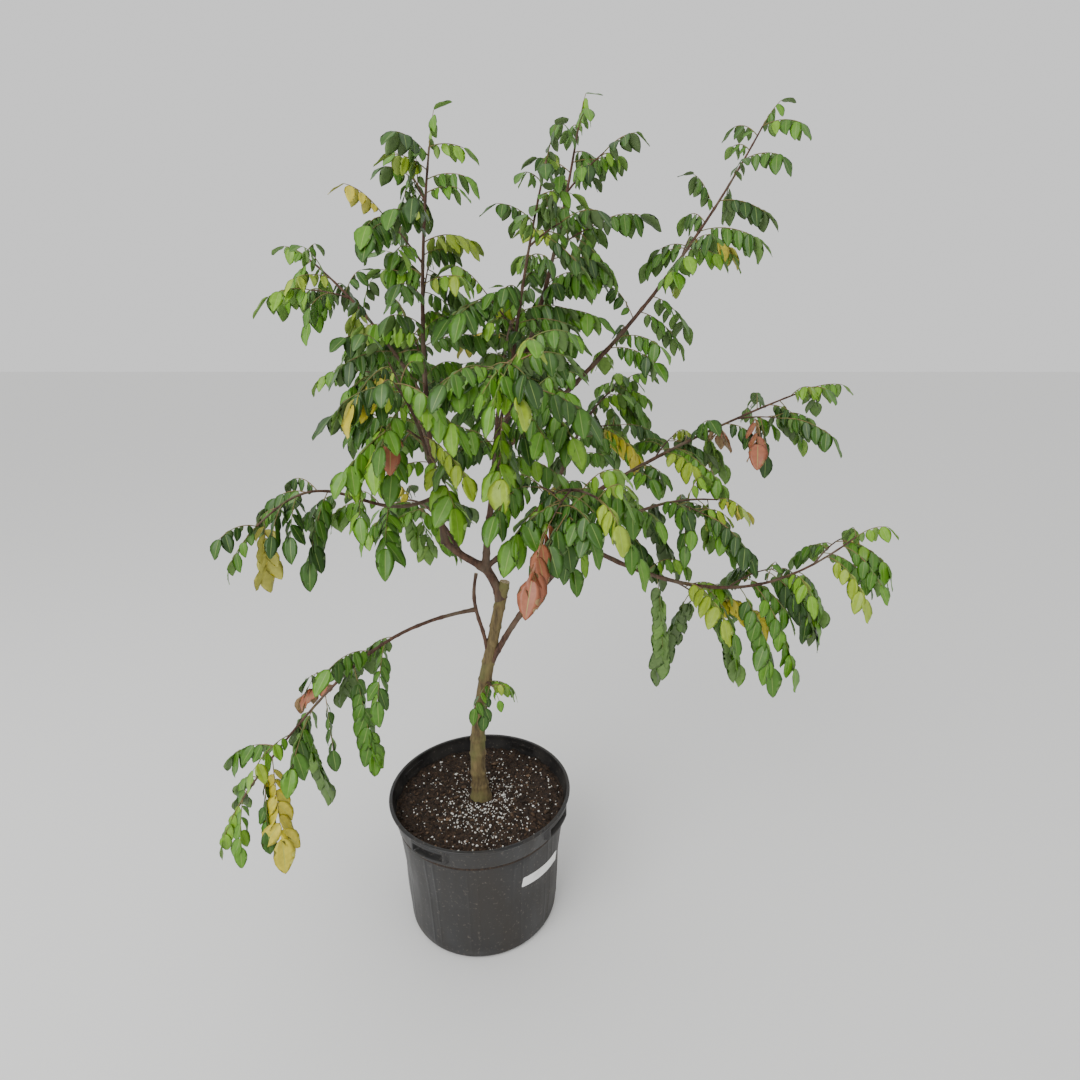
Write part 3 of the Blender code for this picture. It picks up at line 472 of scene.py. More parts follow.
mix_turns = np.linspace(0, 2 * math.pi, MIX_COLUMNS, endpoint=False)
mix_radii = np.linspace(0.002, MIX_RADIUS, MIX_ROWS)
mix_x = mix_radii[:, None] * np.cos(mix_turns)
mix_y = mix_radii[:, None] * np.sin(mix_turns)
mix_rings = np.stack([mix_x, mix_y, mix_height(mix_x, mix_y)], -1)
mix_skirt = mix_rings[-1:] * np.array([0.985, 0.985, 0.0]) + np.array([0.0, 0.0, 0.270])
mix_points = np.vstack([[[0, 0, MIX_TOP - 0.002]], mix_rings.reshape(-1, 3), mix_skirt.reshape(-1, 3),
                        [[0, 0, 0.270]]])
mix_quads, mix_fans = lathe_faces(MIX_ROWS + 1, MIX_COLUMNS)
mix_finish, mix_shader = principled("potting_mix", (0.03, 0.017, 0.010), 0.95)
mix_crumbs = mottle(mix_finish, (0.010, 0.006, 0.004), (0.060, 0.034, 0.019), 190.0, (0.35, 0.68))
mix_finish.node_tree.links.new(mix_crumbs.outputs["Colour"], mix_shader.inputs["Base Color"])
bump(mix_finish, mix_shader, mix_crumbs.outputs["Amount"], 0.9, 0.0018)
mix = piece("potting_mix", mix_points, [mix_quads[:, ::-1], mix_fans[:, ::-1]], [mix_finish])
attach(mix, "root")
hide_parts("soil")


def scattered(count, draw, centre, spread):
    """Places on the mix: a round cloud about a centre, redrawn inside the pot."""
    found = np.empty((0, 2))
    while len(found) < count:
        cloud = centre + draw.normal(size=(4 * count, 2)) * spread
        radius = np.hypot(cloud[:, 0], cloud[:, 1])
        found = np.vstack([found, cloud[(radius < MIX_RADIUS - 0.006) & (radius > 0.029)]])
    return found[:count]


def turned_about(draw, count, tilt):
    """Random turns about Z after a random tilt of up to so many radians, as matrices."""
    yaw = draw.uniform(0, 2 * math.pi, count)
    lean = draw.uniform(-tilt, tilt, count)
    zero, one = np.zeros(count), np.ones(count)
    spin = np.stack([np.cos(yaw), -np.sin(yaw), zero, np.sin(yaw), np.cos(yaw), zero,
                     zero, zero, one], -1).reshape(-1, 3, 3)
    rock = np.stack([np.cos(lean), zero, np.sin(lean), zero, one, zero,
                     -np.sin(lean), zero, np.cos(lean)], -1).reshape(-1, 3, 3)
    return spin @ rock


def strewn(name, shape, faces, places, sizes, rough, draw, tilt, lift, materials, kinds):
    """Copies of one small closed shape, each stretched, roughened, turned and set down."""
    count = len(places)
    grown = shape[None] * sizes[:, None, :] * draw.uniform(1 - rough, 1 + rough, (count, len(shape), 3))
    turned = np.einsum("nij,nvj->nvi", turned_about(draw, count, tilt), grown)
    ground = np.column_stack([places, mix_height(places[:, 0], places[:, 1]) + lift * sizes[:, 2]])
    points = turned + ground[:, None]
    all_faces = (faces[None] + (np.arange(count) * len(shape))[:, None, None]).reshape(-1, faces.shape[1])
    return piece(name, points, [all_faces], materials, np.repeat(kinds, len(faces)), smooth=False)


CHIP_SHAPE = 0.5 * np.array([[-1, -.6, -1], [1, -1, -1], [.8, 1, -1], [-.9, .7, -1],
                             [-.8, -.5, 1], [.9, -.8, 1], [.7, .8, 1], [-.7, .6, 1]])
CHIP_FACES = np.array([[3, 2, 1, 0], [4, 5, 6, 7], [0, 1, 5, 4], [1, 2, 6, 5], [2, 3, 7, 6], [3, 0, 4, 7]])
chip_draw = np.random.default_rng(21)
chip_places = scattered(CHIP_COUNT, chip_draw, (0.0, 0.0), 0.115)
chip_long = chip_draw.lognormal(math.log(0.0060), 0.40, CHIP_COUNT).clip(0.003, 0.017)
chip_sizes = np.stack([chip_long, chip_long * chip_draw.uniform(0.25, 0.7, CHIP_COUNT),
                       chip_long * chip_draw.uniform(0.12, 0.30, CHIP_COUNT)], -1)
chip_finishes = []
for order, brown in enumerate(CHIP_BROWNS):
    chip_finish, chip_shader = principled(f"bark_chip_{order + 1}", brown, 0.9)
    chip_grain = mottle(chip_finish, tuple(0.6 * np.array(brown)), tuple(1.5 * np.array(brown)), 320.0)
    chip_finish.node_tree.links.new(chip_grain.outputs["Colour"], chip_shader.inputs["Base Color"])
    chip_finishes.append(chip_finish)
chips = strewn("bark_chips", CHIP_SHAPE, CHIP_FACES, chip_places, chip_sizes, 0.16, chip_draw, 0.5, 0.30,
               chip_finishes, chip_draw.choice(len(CHIP_BROWNS), CHIP_COUNT, p=(0.36, 0.34, 0.22, 0.08)))
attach(chips, "root")

GOLD = (1 + math.sqrt(5)) / 2
GRAIN_SHAPE = 0.5 * np.array([[-1, GOLD, 0], [1, GOLD, 0], [-1, -GOLD, 0], [1, -GOLD, 0],
                              [0, -1, GOLD], [0, 1, GOLD], [0, -1, -GOLD], [0, 1, -GOLD],
                              [GOLD, 0, -1], [GOLD, 0, 1], [-GOLD, 0, -1], [-GOLD, 0, 1]]) / math.hypot(1, GOLD)
GRAIN_FACES = np.array([[0, 11, 5], [0, 5, 1], [0, 1, 7], [0, 7, 10], [0, 10, 11], [1, 5, 9], [5, 11, 4],
                        [11, 10, 2], [10, 7, 6], [7, 1, 8], [3, 9, 4], [3, 4, 2], [3, 2, 6], [3, 6, 8],
                        [3, 8, 9], [4, 9, 5], [2, 4, 11], [6, 2, 10], [8, 6, 7], [9, 8, 1]])
grain_draw = np.random.default_rng(22)
grain_places = np.vstack([scattered(PERLITE_COUNT // 2, grain_draw, (0.015, -0.045), 0.055),
                          scattered(PERLITE_COUNT - PERLITE_COUNT // 2, grain_draw, (0.02, 0.0), 0.105)])
grain_sizes = grain_draw.lognormal(math.log(0.0029), 0.32, PERLITE_COUNT).clip(0.0013, 0.0062)[:, None]
grain_sizes = grain_sizes * grain_draw.uniform(0.75, 1.25, (PERLITE_COUNT, 3))
perlite_finish, perlite_shader = principled("perlite", (0.80, 0.79, 0.74), 0.85)
perlite_dirt = mottle(perlite_finish, (0.46, 0.42, 0.35), (0.86, 0.85, 0.81), 260.0, (0.30, 0.52))
perlite_finish.node_tree.links.new(perlite_dirt.outputs["Colour"], perlite_shader.inputs["Base Color"])
perlite = strewn("perlite", GRAIN_SHAPE, GRAIN_FACES, grain_places, grain_sizes, 0.22, grain_draw, 3.0, 0.18,
                 [perlite_finish], np.zeros(PERLITE_COUNT, int))
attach(perlite, "root")


# The trunk and boughs: living wood under thin bark, olive-brown on the trunk and reddish
# brown on the boughs, with swollen collars and nodes.  The trunk ends in a flat pruning cut.
TRUNK_FOOT = 0.303
TRUNK_FOOT_FLARE = 0.0070
TRUNK_FLARE_HEIGHT = 0.017
RING_STEP = 0.0045
TRUNK_SIDES = 28
BOUGH_SIDES = 14
COLLAR_SWELL = 0.45
COLLAR_LENGTH = 0.011
NODE_SPACING = 0.047
NODE_SWELL = 0.16
NODE_LENGTH = 0.0042
UP = np.array([0.0, 0.0, 1.0])


@dataclass
class Limb:
    """A line from a parent limb: station on it, heading in degrees, level reach, rise,
    upward arch, sideways sway, S-wave, foot and tip radii, and the share that is bare."""
    name: str
    parent: str
    station: float
    heading: float
    reach: float
    rise: float
    arch: float
    sway: float
    wave: float
    foot: float
    tip: float
    bare: float = 1.0


LIMBS = [
    Limb("trunk", "", 0.0, 0, 0.070, 0.548, 0.022, 0.004, 0.004, 0.0185, 0.0110),
    Limb("fork_limb", "trunk", 0.925, 180, 0.032, 0.072, 0.003, 0.0, 0.0, 0.0105, 0.0095),
    Limb("left_limb", "fork_limb", 1.0, 184, 0.082, 0.058, -0.004, 0.0, 0.0, 0.0085, 0.0072),
    Limb("left_leader", "left_limb", 1.0, 290, 0.045, 0.715, 0.0, -0.026, 0.0, 0.0068, 0.0018, 0.42),
    Limb("centre_leader", "fork_limb", 1.0, 14, 0.196, 0.830, 0.010, 0.0, 0.012, 0.0080, 0.0018, 0.42),
    Limb("low_right_limb", "trunk", 0.585, -13, 0.222, 0.322, 0.020, 0.0, 0.0, 0.0070, 0.0055),
    Limb("thin_stem", "trunk", 0.640, 176, 0.020, 0.212, -0.006, 0.006, 0.006, 0.0046, 0.0036),
    Limb("middle_right", "fork_limb", 1.0, 9, 0.700, 0.365, 0.022, 0.030, 0.0, 0.0062, 0.0016, 0.38),
    Limb("upper_right", "centre_leader", 0.29, 13, 0.525, 0.610, -0.042, 0.0, 0.0, 0.0060, 0.0016, 0.30),
    Limb("low_right", "low_right_limb", 1.0, -7, 0.520, 0.035, -0.098, 0.0, 0.006, 0.0052, 0.0016, 0.16),
    Limb("inner_right", "low_right_limb", 1.0, 8, 0.270, 0.085, 0.030, 0.0, 0.0, 0.0046, 0.0016, 0.15),
    Limb("low_left", "thin_stem", 0.62, 210, 0.500, -0.290, 0.075, 0.0, 0.010, 0.0042, 0.0016, 0.24),
    Limb("middle_left", "left_leader", 0.14, 217, 0.345, -0.005, 0.026, 0.0, -0.026, 0.0042, 0.0016, 0.22),
    Limb("upper_left", "left_leader", 0.40, 156, 0.265, 0.275, 0.020, 0.0, 0.0, 0.0042, 0.0016, 0.20),
    Limb("top_middle", "centre_leader", 0.36, 309, 0.130, 0.440, 0.014, 0.0, 0.0, 0.0042, 0.0016, 0.14),
    Limb("front_middle", "centre_leader", 0.14, 283, 0.400, 0.330, 0.045, 0.0, 0.0, 0.0050, 0.0016, 0.26),
    Limb("front_right", "middle_right", 0.13, 290, 0.380, 0.170, 0.050, 0.0, 0.0, 0.0048, 0.0016, 0.26),
    Limb("front_left", "left_leader", 0.07, 271, 0.340, 0.290, 0.045, 0.0, 0.0, 0.0048, 0.0016, 0.26),
    Limb("back_middle", "centre_leader", 0.18, 84, 0.340, 0.400, 0.045, 0.0, 0.0, 0.0050, 0.0016, 0.24),
    Limb("back_left", "left_leader", 0.20, 118, 0.360, 0.270, 0.045, 0.0, 0.0, 0.0048, 0.0016, 0.24),
    Limb("back_right", "middle_right", 0.20, 62, 0.390, 0.270, 0.055, 0.0, 0.0, 0.0048, 0.0016, 0.24),
    Limb("back_low", "left_limb", 0.60, 128, 0.310, 0.050, 0.050, 0.0, 0.0, 0.0042, 0.0016, 0.30),
    Limb("trunk_shoot", "trunk", 0.545, -60, 0.040, 0.012, 0.004, 0.0, 0.0, 0.0026, 0.0018, 0.0),
]
LIMB_NAMED = {limb.name: limb for limb in LIMBS}


def level(degrees):
    """Unit vector on the level at an angle from +X."""
    return np.array([math.cos(math.radians(degrees)), math.sin(math.radians(degrees)), 0.0])


def limb_line(limb, shares):
    """Points of a limb: its chord, bowed by 4t(1-t) and waved by one period of a sine."""
    start = np.array([0.0, 0.0, TRUNK_FOOT])
    if limb.parent:
        start = limb_line(LIMB_NAMED[limb.parent], [limb.station])[0]
    shares = np.asarray(shares, float)[:, None]
    run = level(limb.heading)
    above = np.array([0.0, 0.0, limb.reach]) - run * limb.rise
    above /= np.linalg.norm(above)
    bow = 4 * shares * (1 - shares)
    return (start + shares * (run * limb.reach + UP * limb.rise)
            + bow * (limb.arch * above + limb.sway * level(limb.heading + 90))
            + np.sin(2 * math.pi * shares) * limb.wave * above)


def tubes(points, radii, across, sides, relief=None):
    """Rings carried along many lines at once: lines x rings x sides points.

    Each ring stands square to its line, and its first side lies along the line's own
    across direction.  relief multiplies the radius of each point.
    """
    tangents = np.gradient(points, axis=1)
    tangents /= np.linalg.norm(tangents, axis=2, keepdims=True)
    side = across[:, None] - (across[:, None] * tangents).sum(2, keepdims=True) * tangents
    side /= np.linalg.norm(side, axis=2, keepdims=True)
    over = np.cross(tangents, side)
    turns = np.linspace(0, 2 * math.pi, sides, endpoint=False)[None, None, :, None]
    reach = radii[:, :, None] if relief is None else radii[:, :, None] * relief
    return (points[:, :, None] + reach[..., None]
            * (np.cos(turns) * side[:, :, None] + np.sin(turns) * over[:, :, None]))


def tube_faces(lines, rings, sides):
    """Quads round each tube, and a polygon over each of its two ends."""
    first = (np.arange(rings - 1)[:, None] * sides + np.arange(sides)[None])
    after = (np.arange(rings - 1)[:, None] * sides + (np.arange(sides)[None] + 1) % sides)
    quads = np.stack([first, after, after + sides, first + sides], -1).reshape(-1, 4)
    caps = np.stack([np.arange(sides)[::-1], (rings - 1) * sides + np.arange(sides)])
    shift = (np.arange(lines) * rings * sides)[:, None, None]
    return (quads[None] + shift).reshape(-1, 4), (caps[None] + shift).reshape(-1, sides)


def limb_length(limb):
    """Length of a limb's chord."""
    return math.hypot(limb.reach, limb.rise)


def bark_tube(limb, begin, end, sides):
    """Rings along part of a limb, with its taper, collar, nodes and bark relief.

    The relief depends on the length from the limb's foot and the turn round it, so that
    a bough and the stem that goes on from it meet without a step.
    """
    rings = max(4, round(limb_length(limb) * (end - begin) / RING_STEP))
    shares = np.linspace(begin, end, rings)
    along = shares * limb_length(limb)
    radii = limb.foot + (limb.tip - limb.foot) * shares
    seed = LIMBS.index(limb)
    if limb.parent:
        radii = radii * (1 + COLLAR_SWELL * np.exp(-(along / COLLAR_LENGTH) ** 1.5))
        points = limb_line(limb, shares)
    else:
        radii = radii + TRUNK_FOOT_FLARE * np.exp(-along / TRUNK_FLARE_HEIGHT)
        points = limb_line(limb, shares)
    draw = random.Random(seed + 70)
    for node in np.arange(0.5, limb_length(limb) / NODE_SPACING):
        centre = NODE_SPACING * (node + draw.uniform(-0.25, 0.25))
        radii = radii * (1 + NODE_SWELL * np.exp(-((along - centre) / NODE_LENGTH) ** 2))
    turns = np.linspace(0, 2 * math.pi, sides, endpoint=False)
    girth = 2.2 * limb.foot
    wrapped = np.stack(np.broadcast_arrays(girth * np.cos(turns)[None], girth * np.sin(turns)[None],
                                           0.30 * along[:, None]), -1)
    lumps = np.stack(np.broadcast_arrays(girth * np.cos(turns)[None], girth * np.sin(turns)[None],
                                         along[:, None]), -1)
    relief = (1 + 0.028 * ripples(wrapped, 0.75 * girth, seed + 30)
              + 0.030 * ripples(lumps, 1.6 * girth, seed + 90))
    across = level(limb.heading + 90)[None]
    return tubes(points[None], radii[None], across, sides, relief[None])[0]


def bark_group():
    """Shader group: bark of long fissures and short corky dots on Object coordinates.

    A fixed mapping squeezes the noise along Z, which runs along upright wood.  Colour runs from Deep in the
    fissures to
    Outer, and Moss is laid over it in broad patches.  Height is for a bump.
    """
    group = bpy.data.node_groups.new("bark", "ShaderNodeTree")
    for label, kind, value in (("Deep", "NodeSocketColor", (0.05, 0.03, 0.02, 1)),
                               ("Outer", "NodeSocketColor", (0.2, 0.15, 0.1, 1)),
                               ("Moss", "NodeSocketColor", (0.2, 0.2, 0.1, 1)),
                               ("Scale", "NodeSocketFloat", 60.0)):
        group.interface.new_socket(label, in_out="INPUT", socket_type=kind).default_value = value
    group.interface.new_socket("Colour", in_out="OUTPUT", socket_type="NodeSocketColor")
    group.interface.new_socket("Height", in_out="OUTPUT", socket_type="NodeSocketFloat")
    nodes, links = group.nodes, group.links
    given = nodes.new("NodeGroupInput")
    handed = nodes.new("NodeGroupOutput")
    place = nodes.new("ShaderNodeTexCoord")
    squeeze = nodes.new("ShaderNodeMapping")
    squeeze.inputs["Scale"].default_value = (1.0, 1.0, 0.25)
    fissures = nodes.new("ShaderNodeTexNoise")
    fissures.inputs["Detail"].default_value = 8.0
    fissures.inputs["Roughness"].default_value = 0.62
    patches = nodes.new("ShaderNodeTexNoise")
    patches.inputs["Scale"].default_value = 19.0
    patches.inputs["Detail"].default_value = 4.0
    depth = nodes.new("ShaderNodeMapRange")
    depth.inputs["From Min"].default_value = 0.34
    depth.inputs["From Max"].default_value = 0.66
    cover = nodes.new("ShaderNodeMapRange")
    cover.inputs["From Min"].default_value = 0.47
    cover.inputs["From Max"].default_value = 0.66
    cover.inputs["To Max"].default_value = 0.8
    wood = nodes.new("ShaderNodeMix")
    wood.data_type = "RGBA"
    coat = nodes.new("ShaderNodeMix")
    coat.data_type = "RGBA"
    links.new(place.outputs["Object"], squeeze.inputs["Vector"])
    links.new(squeeze.outputs["Vector"], fissures.inputs["Vector"])
    links.new(given.outputs["Scale"], fissures.inputs["Scale"])
    links.new(place.outputs["Object"], patches.inputs["Vector"])
    links.new(fissures.outputs["Fac"], depth.inputs["Value"])
    links.new(patches.outputs["Fac"], cover.inputs["Value"])
    links.new(depth.outputs["Result"], wood.inputs["Factor"])
    links.new(given.outputs["Deep"], wood.inputs["A"])
    links.new(given.outputs["Outer"], wood.inputs["B"])
    links.new(cover.outputs["Result"], coat.inputs["Factor"])
    links.new(wood.outputs["Result"], coat.inputs["A"])
    links.new(given.outputs["Moss"], coat.inputs["B"])
    links.new(coat.outputs["Result"], handed.inputs["Colour"])
    links.new(depth.outputs["Result"], handed.inputs["Height"])
    return group


BARK = bark_group()


def bark(name, deep, outer, moss, scale, roughness=0.85):
    """A bark material from the bark group, with its own colours."""
    made, shader = principled(name, outer, roughness)
    node = made.node_tree.nodes.new("ShaderNodeGroup")
    node.node_tree = BARK
    for label, colour in (("Deep", deep), ("Outer", outer), ("Moss", moss)):
        node.inputs[label].default_value = (*colour, 1.0)
    node.inputs["Scale"].default_value = scale
    made.node_tree.links.new(node.outputs["Colour"], shader.inputs["Base Color"])
    bump(made, shader, node.outputs["Height"], 0.6, 0.0010)
    return made


trunk_bark = bark("trunk_bark", (0.060, 0.040, 0.018), (0.210, 0.155, 0.062), (0.125, 0.130, 0.038), 95.0)
bough_bark = bark("bough_bark", (0.030, 0.013, 0.008), (0.125, 0.062, 0.038), (0.140, 0.105, 0.070), 130.0)
cut_wood, cut_shader = principled("cut_wood", (0.42, 0.33, 0.20), 0.8)
cut_rings = mottle(cut_wood, (0.30, 0.21, 0.11), (0.50, 0.41, 0.26), 240.0)
cut_wood.node_tree.links.new(cut_rings.outputs["Colour"], cut_shader.inputs["Base Color"])

for limb in LIMBS:
    if limb.bare == 0.0:
        continue
    limb_sides = TRUNK_SIDES if limb.name == "trunk" else BOUGH_SIDES
    limb_rings = bark_tube(limb, 0.0, limb.bare, limb_sides)
    if limb.name == "trunk":
        limb_rings[0, :, 2] = TRUNK_FOOT - 0.004
    limb_quads, limb_caps = tube_faces(1, len(limb_rings), limb_sides)
    limb_kinds = np.concatenate([np.zeros(len(limb_quads), int), [0, 1]])
    limb_finish = trunk_bark if limb.name == "trunk" else bough_bark
    limb_piece = piece(limb.name, limb_rings, [limb_quads, limb_caps], [limb_finish, cut_wood], limb_kinds)
    limb_piece.data.set_sharp_from_angle(angle=math.radians(60))
    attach(limb_piece, "root")
    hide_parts("trunk" if limb.name == "trunk" else "bough_" + limb.name)


# The foliage: each bough's end carries a stem, side twigs, and compound leaves of seven to
# eleven leaflets that hang in two rows from an arching stalk, the larger ones further out.
GOLDEN_ANGLE = 137.5
TURN_SPREAD = 18.0
LEAF_FORWARD = 0.5
TWIG_FORWARD = 1.1
LIFT = 0.10
FLATTENING = 0.55
TWIG_DROOP = 0.4
STALK_POINTS = 8
TWIG_NODES = (3, 5, 7)
FINE_TWIG_NODES = (2, 4, 6)
STEM_POINTS = 60
LEAFLET_SPACING = 0.0135
LEAFLET_LENGTH = 0.052
LEAFLET_WIDTH = 0.62
LEAFLET_THICKNESS = 0.0006


@dataclass
class Foliage:
    """A mass of foliage: its limb, seed, distance between leaves, length of a leaf stalk,
    number and length of side twigs, and droop as a share of length."""
    limb: str
    seed: int
    step: float
    leaf: float
    twigs: int
    twig: float
    droop: float


FOLIAGE = [
    Foliage("left_leader", 11, 0.034, 0.115, 4, 0.13, 0.35),
    Foliage("centre_leader", 12, 0.034, 0.115, 4, 0.14, 0.35),
    Foliage("middle_right", 13, 0.049, 0.120, 2, 0.12, 0.40),
    Foliage("upper_right", 14, 0.052, 0.120, 1, 0.10, 0.40),
    Foliage("low_right", 15, 0.056, 0.125, 3, 0.18, 0.65),
    Foliage("inner_right", 16, 0.038, 0.115, 1, 0.10, 0.50),
    Foliage("low_left", 17, 0.050, 0.120, 0, 0.0, 0.45),
    Foliage("middle_left", 18, 0.044, 0.110, 0, 0.0, 0.50),
    Foliage("upper_left", 19, 0.040, 0.110, 1, 0.10, 0.40),
    Foliage("top_middle", 20, 0.040, 0.105, 2, 0.10, 0.35),
    Foliage("front_middle", 21, 0.042, 0.120, 2, 0.12, 0.45),
    Foliage("front_right", 22, 0.046, 0.120, 2, 0.12, 0.50),
    Foliage("front_left", 23, 0.040, 0.120, 2, 0.12, 0.45),
    Foliage("back_middle", 24, 0.042, 0.125, 3, 0.13, 0.45),
    Foliage("back_left", 25, 0.042, 0.125, 2, 0.13, 0.45),
    Foliage("back_right", 26, 0.046, 0.125, 2, 0.13, 0.45),
    Foliage("back_low", 27, 0.044, 0.120, 1, 0.12, 0.45),
    Foliage("trunk_shoot", 28, 0.050, 0.060, 0, 0.0, 0.70),
]


def unit(vector):
    """The vector at length 1."""
    return vector / np.linalg.norm(vector)


def drooping(start, direction, length, droop):
    """A line that leaves along direction and sinks with the square of its run."""
    shares = np.linspace(0, 1, STALK_POINTS)[:, None]
    return start + shares * length * direction - UP * droop * length * shares ** 2


def side_direction(tangent, turn, forward):
    """A heading at a turn round a stem, spread flat on level stems."""
    side = unit(np.cross(tangent, UP) + 1e-6)
    over = np.cross(side, tangent)
    flat = 1.0 - FLATTENING * math.hypot(tangent[0], tangent[1])
    radial = math.cos(turn) * side + flat * math.sin(turn) * over
    return unit(forward * tangent + unit(radial) + LIFT * UP)


def grow(mass):
    """Side twigs and leaf stalks by the rule of the solids, carried to finer ones.

    Nodes follow the stem at even steps and turn by the golden angle.  A few carry a twig
    with leaves of its own, and the rest a leaf.  Half-way between two nodes a second draw
    adds one more leaf, turned the other way.  A leaf is its stalk's line and its youth.
    """
    rng = random.Random(mass.seed)
    fine = random.Random(mass.seed + 900)
    limb = LIMB_NAMED[mass.limb]
    stem = limb_line(limb, np.linspace(limb.bare, 1.0, STEM_POINTS))
    length = np.linalg.norm(np.diff(stem, axis=0), axis=1).sum()
    count = max(2, round(length / mass.step))
    twig_nodes = [round((order + 0.6) * 0.8 * count / mass.twigs) for order in range(mass.twigs)]
    turn = rng.uniform(0, 2 * math.pi)
    twigs = []
    leaves = []
    for index in range(count):
        share = (index + 0.75) / (count + 0.2)
        place = min(int(share * STEM_POINTS), STEM_POINTS - 2)
        tangent = unit(stem[place + 1] - stem[place])
        turn += math.radians(GOLDEN_ANGLE + rng.uniform(-TURN_SPREAD, TURN_SPREAD))
        direction = side_direction(tangent, turn, LEAF_FORWARD)
        youth = max(0.0, share - 0.6) / 0.4
        stalk = mass.leaf * rng.uniform(0.85, 1.15) * (1.0 - 0.35 * youth)
        between = min(place + max(1, STEM_POINTS // (2 * count)), STEM_POINTS - 1)
        away = side_direction(tangent, turn + math.pi + fine.uniform(-0.7, 0.7), LEAF_FORWARD)
        size = stalk * fine.uniform(0.70, 1.0)
        leaves.append((drooping(stem[between], away, size, mass.droop), youth))
        if index not in twig_nodes:
            leaves.append((drooping(stem[place], direction, stalk, mass.droop), youth))
            continue
        size = mass.twig * (1.1 - 0.5 * share) * rng.uniform(0.85, 1.1)
        direction = side_direction(tangent, turn, TWIG_FORWARD)
        twig = drooping(stem[place], direction, size, TWIG_DROOP * mass.droop)
        twigs.append(twig)
        for order, at in enumerate(TWIG_NODES):
            along = unit(twig[at] - twig[at - 1])
            leaf_turn = turn + math.pi * order + rng.uniform(-0.4, 0.4)
            heading = side_direction(along, leaf_turn, LEAF_FORWARD)
            if at == STALK_POINTS - 1:
                heading = unit(along + 0.2 * UP)
            size = stalk * rng.uniform(0.75, 1.0)
            leaves.append((drooping(twig[at], heading, size, mass.droop), 0.3))
        for order, at in enumerate(FINE_TWIG_NODES):
            along = unit(twig[at] - twig[at - 1])
            heading = side_direction(along, turn + math.pi * (order + 1) + fine.uniform(-0.6, 0.6), LEAF_FORWARD)
            leaves.append((drooping(twig[at], heading, stalk * fine.uniform(0.6, 0.9), mass.droop), 0.2))
    tangent = unit(stem[-1] - stem[-2])
    leaves.append((drooping(stem[-1], tangent, 0.6 * mass.leaf, 0.6 * mass.droop), 1.0))
    return twigs, leaves


BLADE_STATIONS = np.array([0.0, 0.07, 0.22, 0.42, 0.62, 0.80, 0.93, 1.0])
BLADE_ACROSS = np.array([-1.0, -0.5, -0.045, 0.045, 0.5, 1.0, 0.5, 0.0, -0.5])
BLADE_SIDE = np.array([0, 1, 1, 1, 1, 0, -1, -1, -1])


def blade_faces(count):
    """Faces of so many leaflets, each a flattened tube closed to a point at both ends.

    Returns quads, end triangles and which strip each face lies in, for one leaflet each.
    """
    around = len(BLADE_ACROSS)
    inner = len(BLADE_STATIONS) - 2
    each = 2 + inner * around
    first = 1 + np.arange(inner - 1)[:, None] * around + np.arange(around)[None]
    after = 1 + np.arange(inner - 1)[:, None] * around + (np.arange(around)[None] + 1) % around
    quads = np.stack([first, first + around, after + around, after], -1).reshape(-1, 4)
    strips = np.tile(np.arange(around), inner - 1)
    start = 1 + np.arange(around)
    start_after = 1 + (np.arange(around) + 1) % around
    last = (inner - 1) * around
    tip = np.full(around, each - 1)
    ends = np.concatenate([np.stack([np.zeros(around, int), start, start_after], -1),
                           np.stack([start + last, tip, start_after + last], -1)])
    end_strips = np.tile(np.arange(around), 2)
    shift = (np.arange(count) * each)[:, None, None]
    return ((quads[None] + shift).reshape(-1, 4), (ends[None] + shift).reshape(-1, 3),
            strips, end_strips)


def blade_points(root, axis, across, normal, length, width, fold, curl, wave):
    """Points of many leaflets at once, along t from base to tip and u across.

    The half width is the width times sin(pi t^0.8)^0.75, an egg shape with a point.  The
    halves rise from the midrib by the fold, the blade curls back with t^2, and its margin
    waves.  The two skins lie half a thickness apart, closing at the margin.
    """
    t = BLADE_STATIONS[1:-1][None, :, None]
    u = BLADE_ACROSS[None, None, :]
    half = 0.5 * width[:, None, None] * np.sin(math.pi * t ** 0.8) ** 0.75
    skin = 0.5 * LEAFLET_THICKNESS * BLADE_SIDE[None, None, :] * (1.02 - u * u)
    rise = (np.abs(u) * half * np.sin(fold)[:, None, None] + skin
            - curl[:, None, None] * length[:, None, None] * t ** 2
            + 0.05 * length[:, None, None] * np.abs(u) * np.sin(9.0 * t + wave[:, None, None]) * t)
    reach = u * half * np.cos(fold)[:, None, None]
    rings = (root[:, None, None] + (length[:, None, None] * t)[..., None] * axis[:, None, None]
             + reach[..., None] * across[:, None, None] + rise[..., None] * normal[:, None, None])
    tip = root + length[:, None] * (axis - curl[:, None] * normal)
    return np.concatenate([root[:, None], rings.reshape(len(root), -1, 3), tip[:, None]], axis=1)


GREENS = {
    "deep": (0.020, 0.068, 0.004),
    "dark": (0.034, 0.108, 0.005),
    "middle": (0.058, 0.170, 0.006),
    "fresh": (0.100, 0.262, 0.009),
    "bright": (0.175, 0.375, 0.014),
    "lime": (0.300, 0.430, 0.020),
    "yellow": (0.560, 0.480, 0.030),
    "bronze": (0.330, 0.105, 0.050),
}
OLD_SHARES = (0.13, 0.27, 0.31, 0.19, 0.06, 0.025, 0.010, 0.005)
YOUNG_SHARES = (0.03, 0.12, 0.27, 0.28, 0.15, 0.09, 0.03, 0.03)
UNDERSIDE = (0.22, 0.30, 0.12)
RIB_LIGHT = (0.34, 0.46, 0.12)


def leaf_finish(name, colour, roughness):
    """A leaf's skin: one plain colour, faintly mottled, with a soft gloss and fine veins."""
    made, shader = principled(name, colour, roughness)
    colour = np.array(colour)
    veins = mottle(made, tuple(0.84 * colour), tuple(1.16 * colour), 120.0)
    made.node_tree.links.new(veins.outputs["Colour"], shader.inputs["Base Color"])
    bump(made, shader, veins.outputs["Amount"], 0.2, 0.0004)
    return made


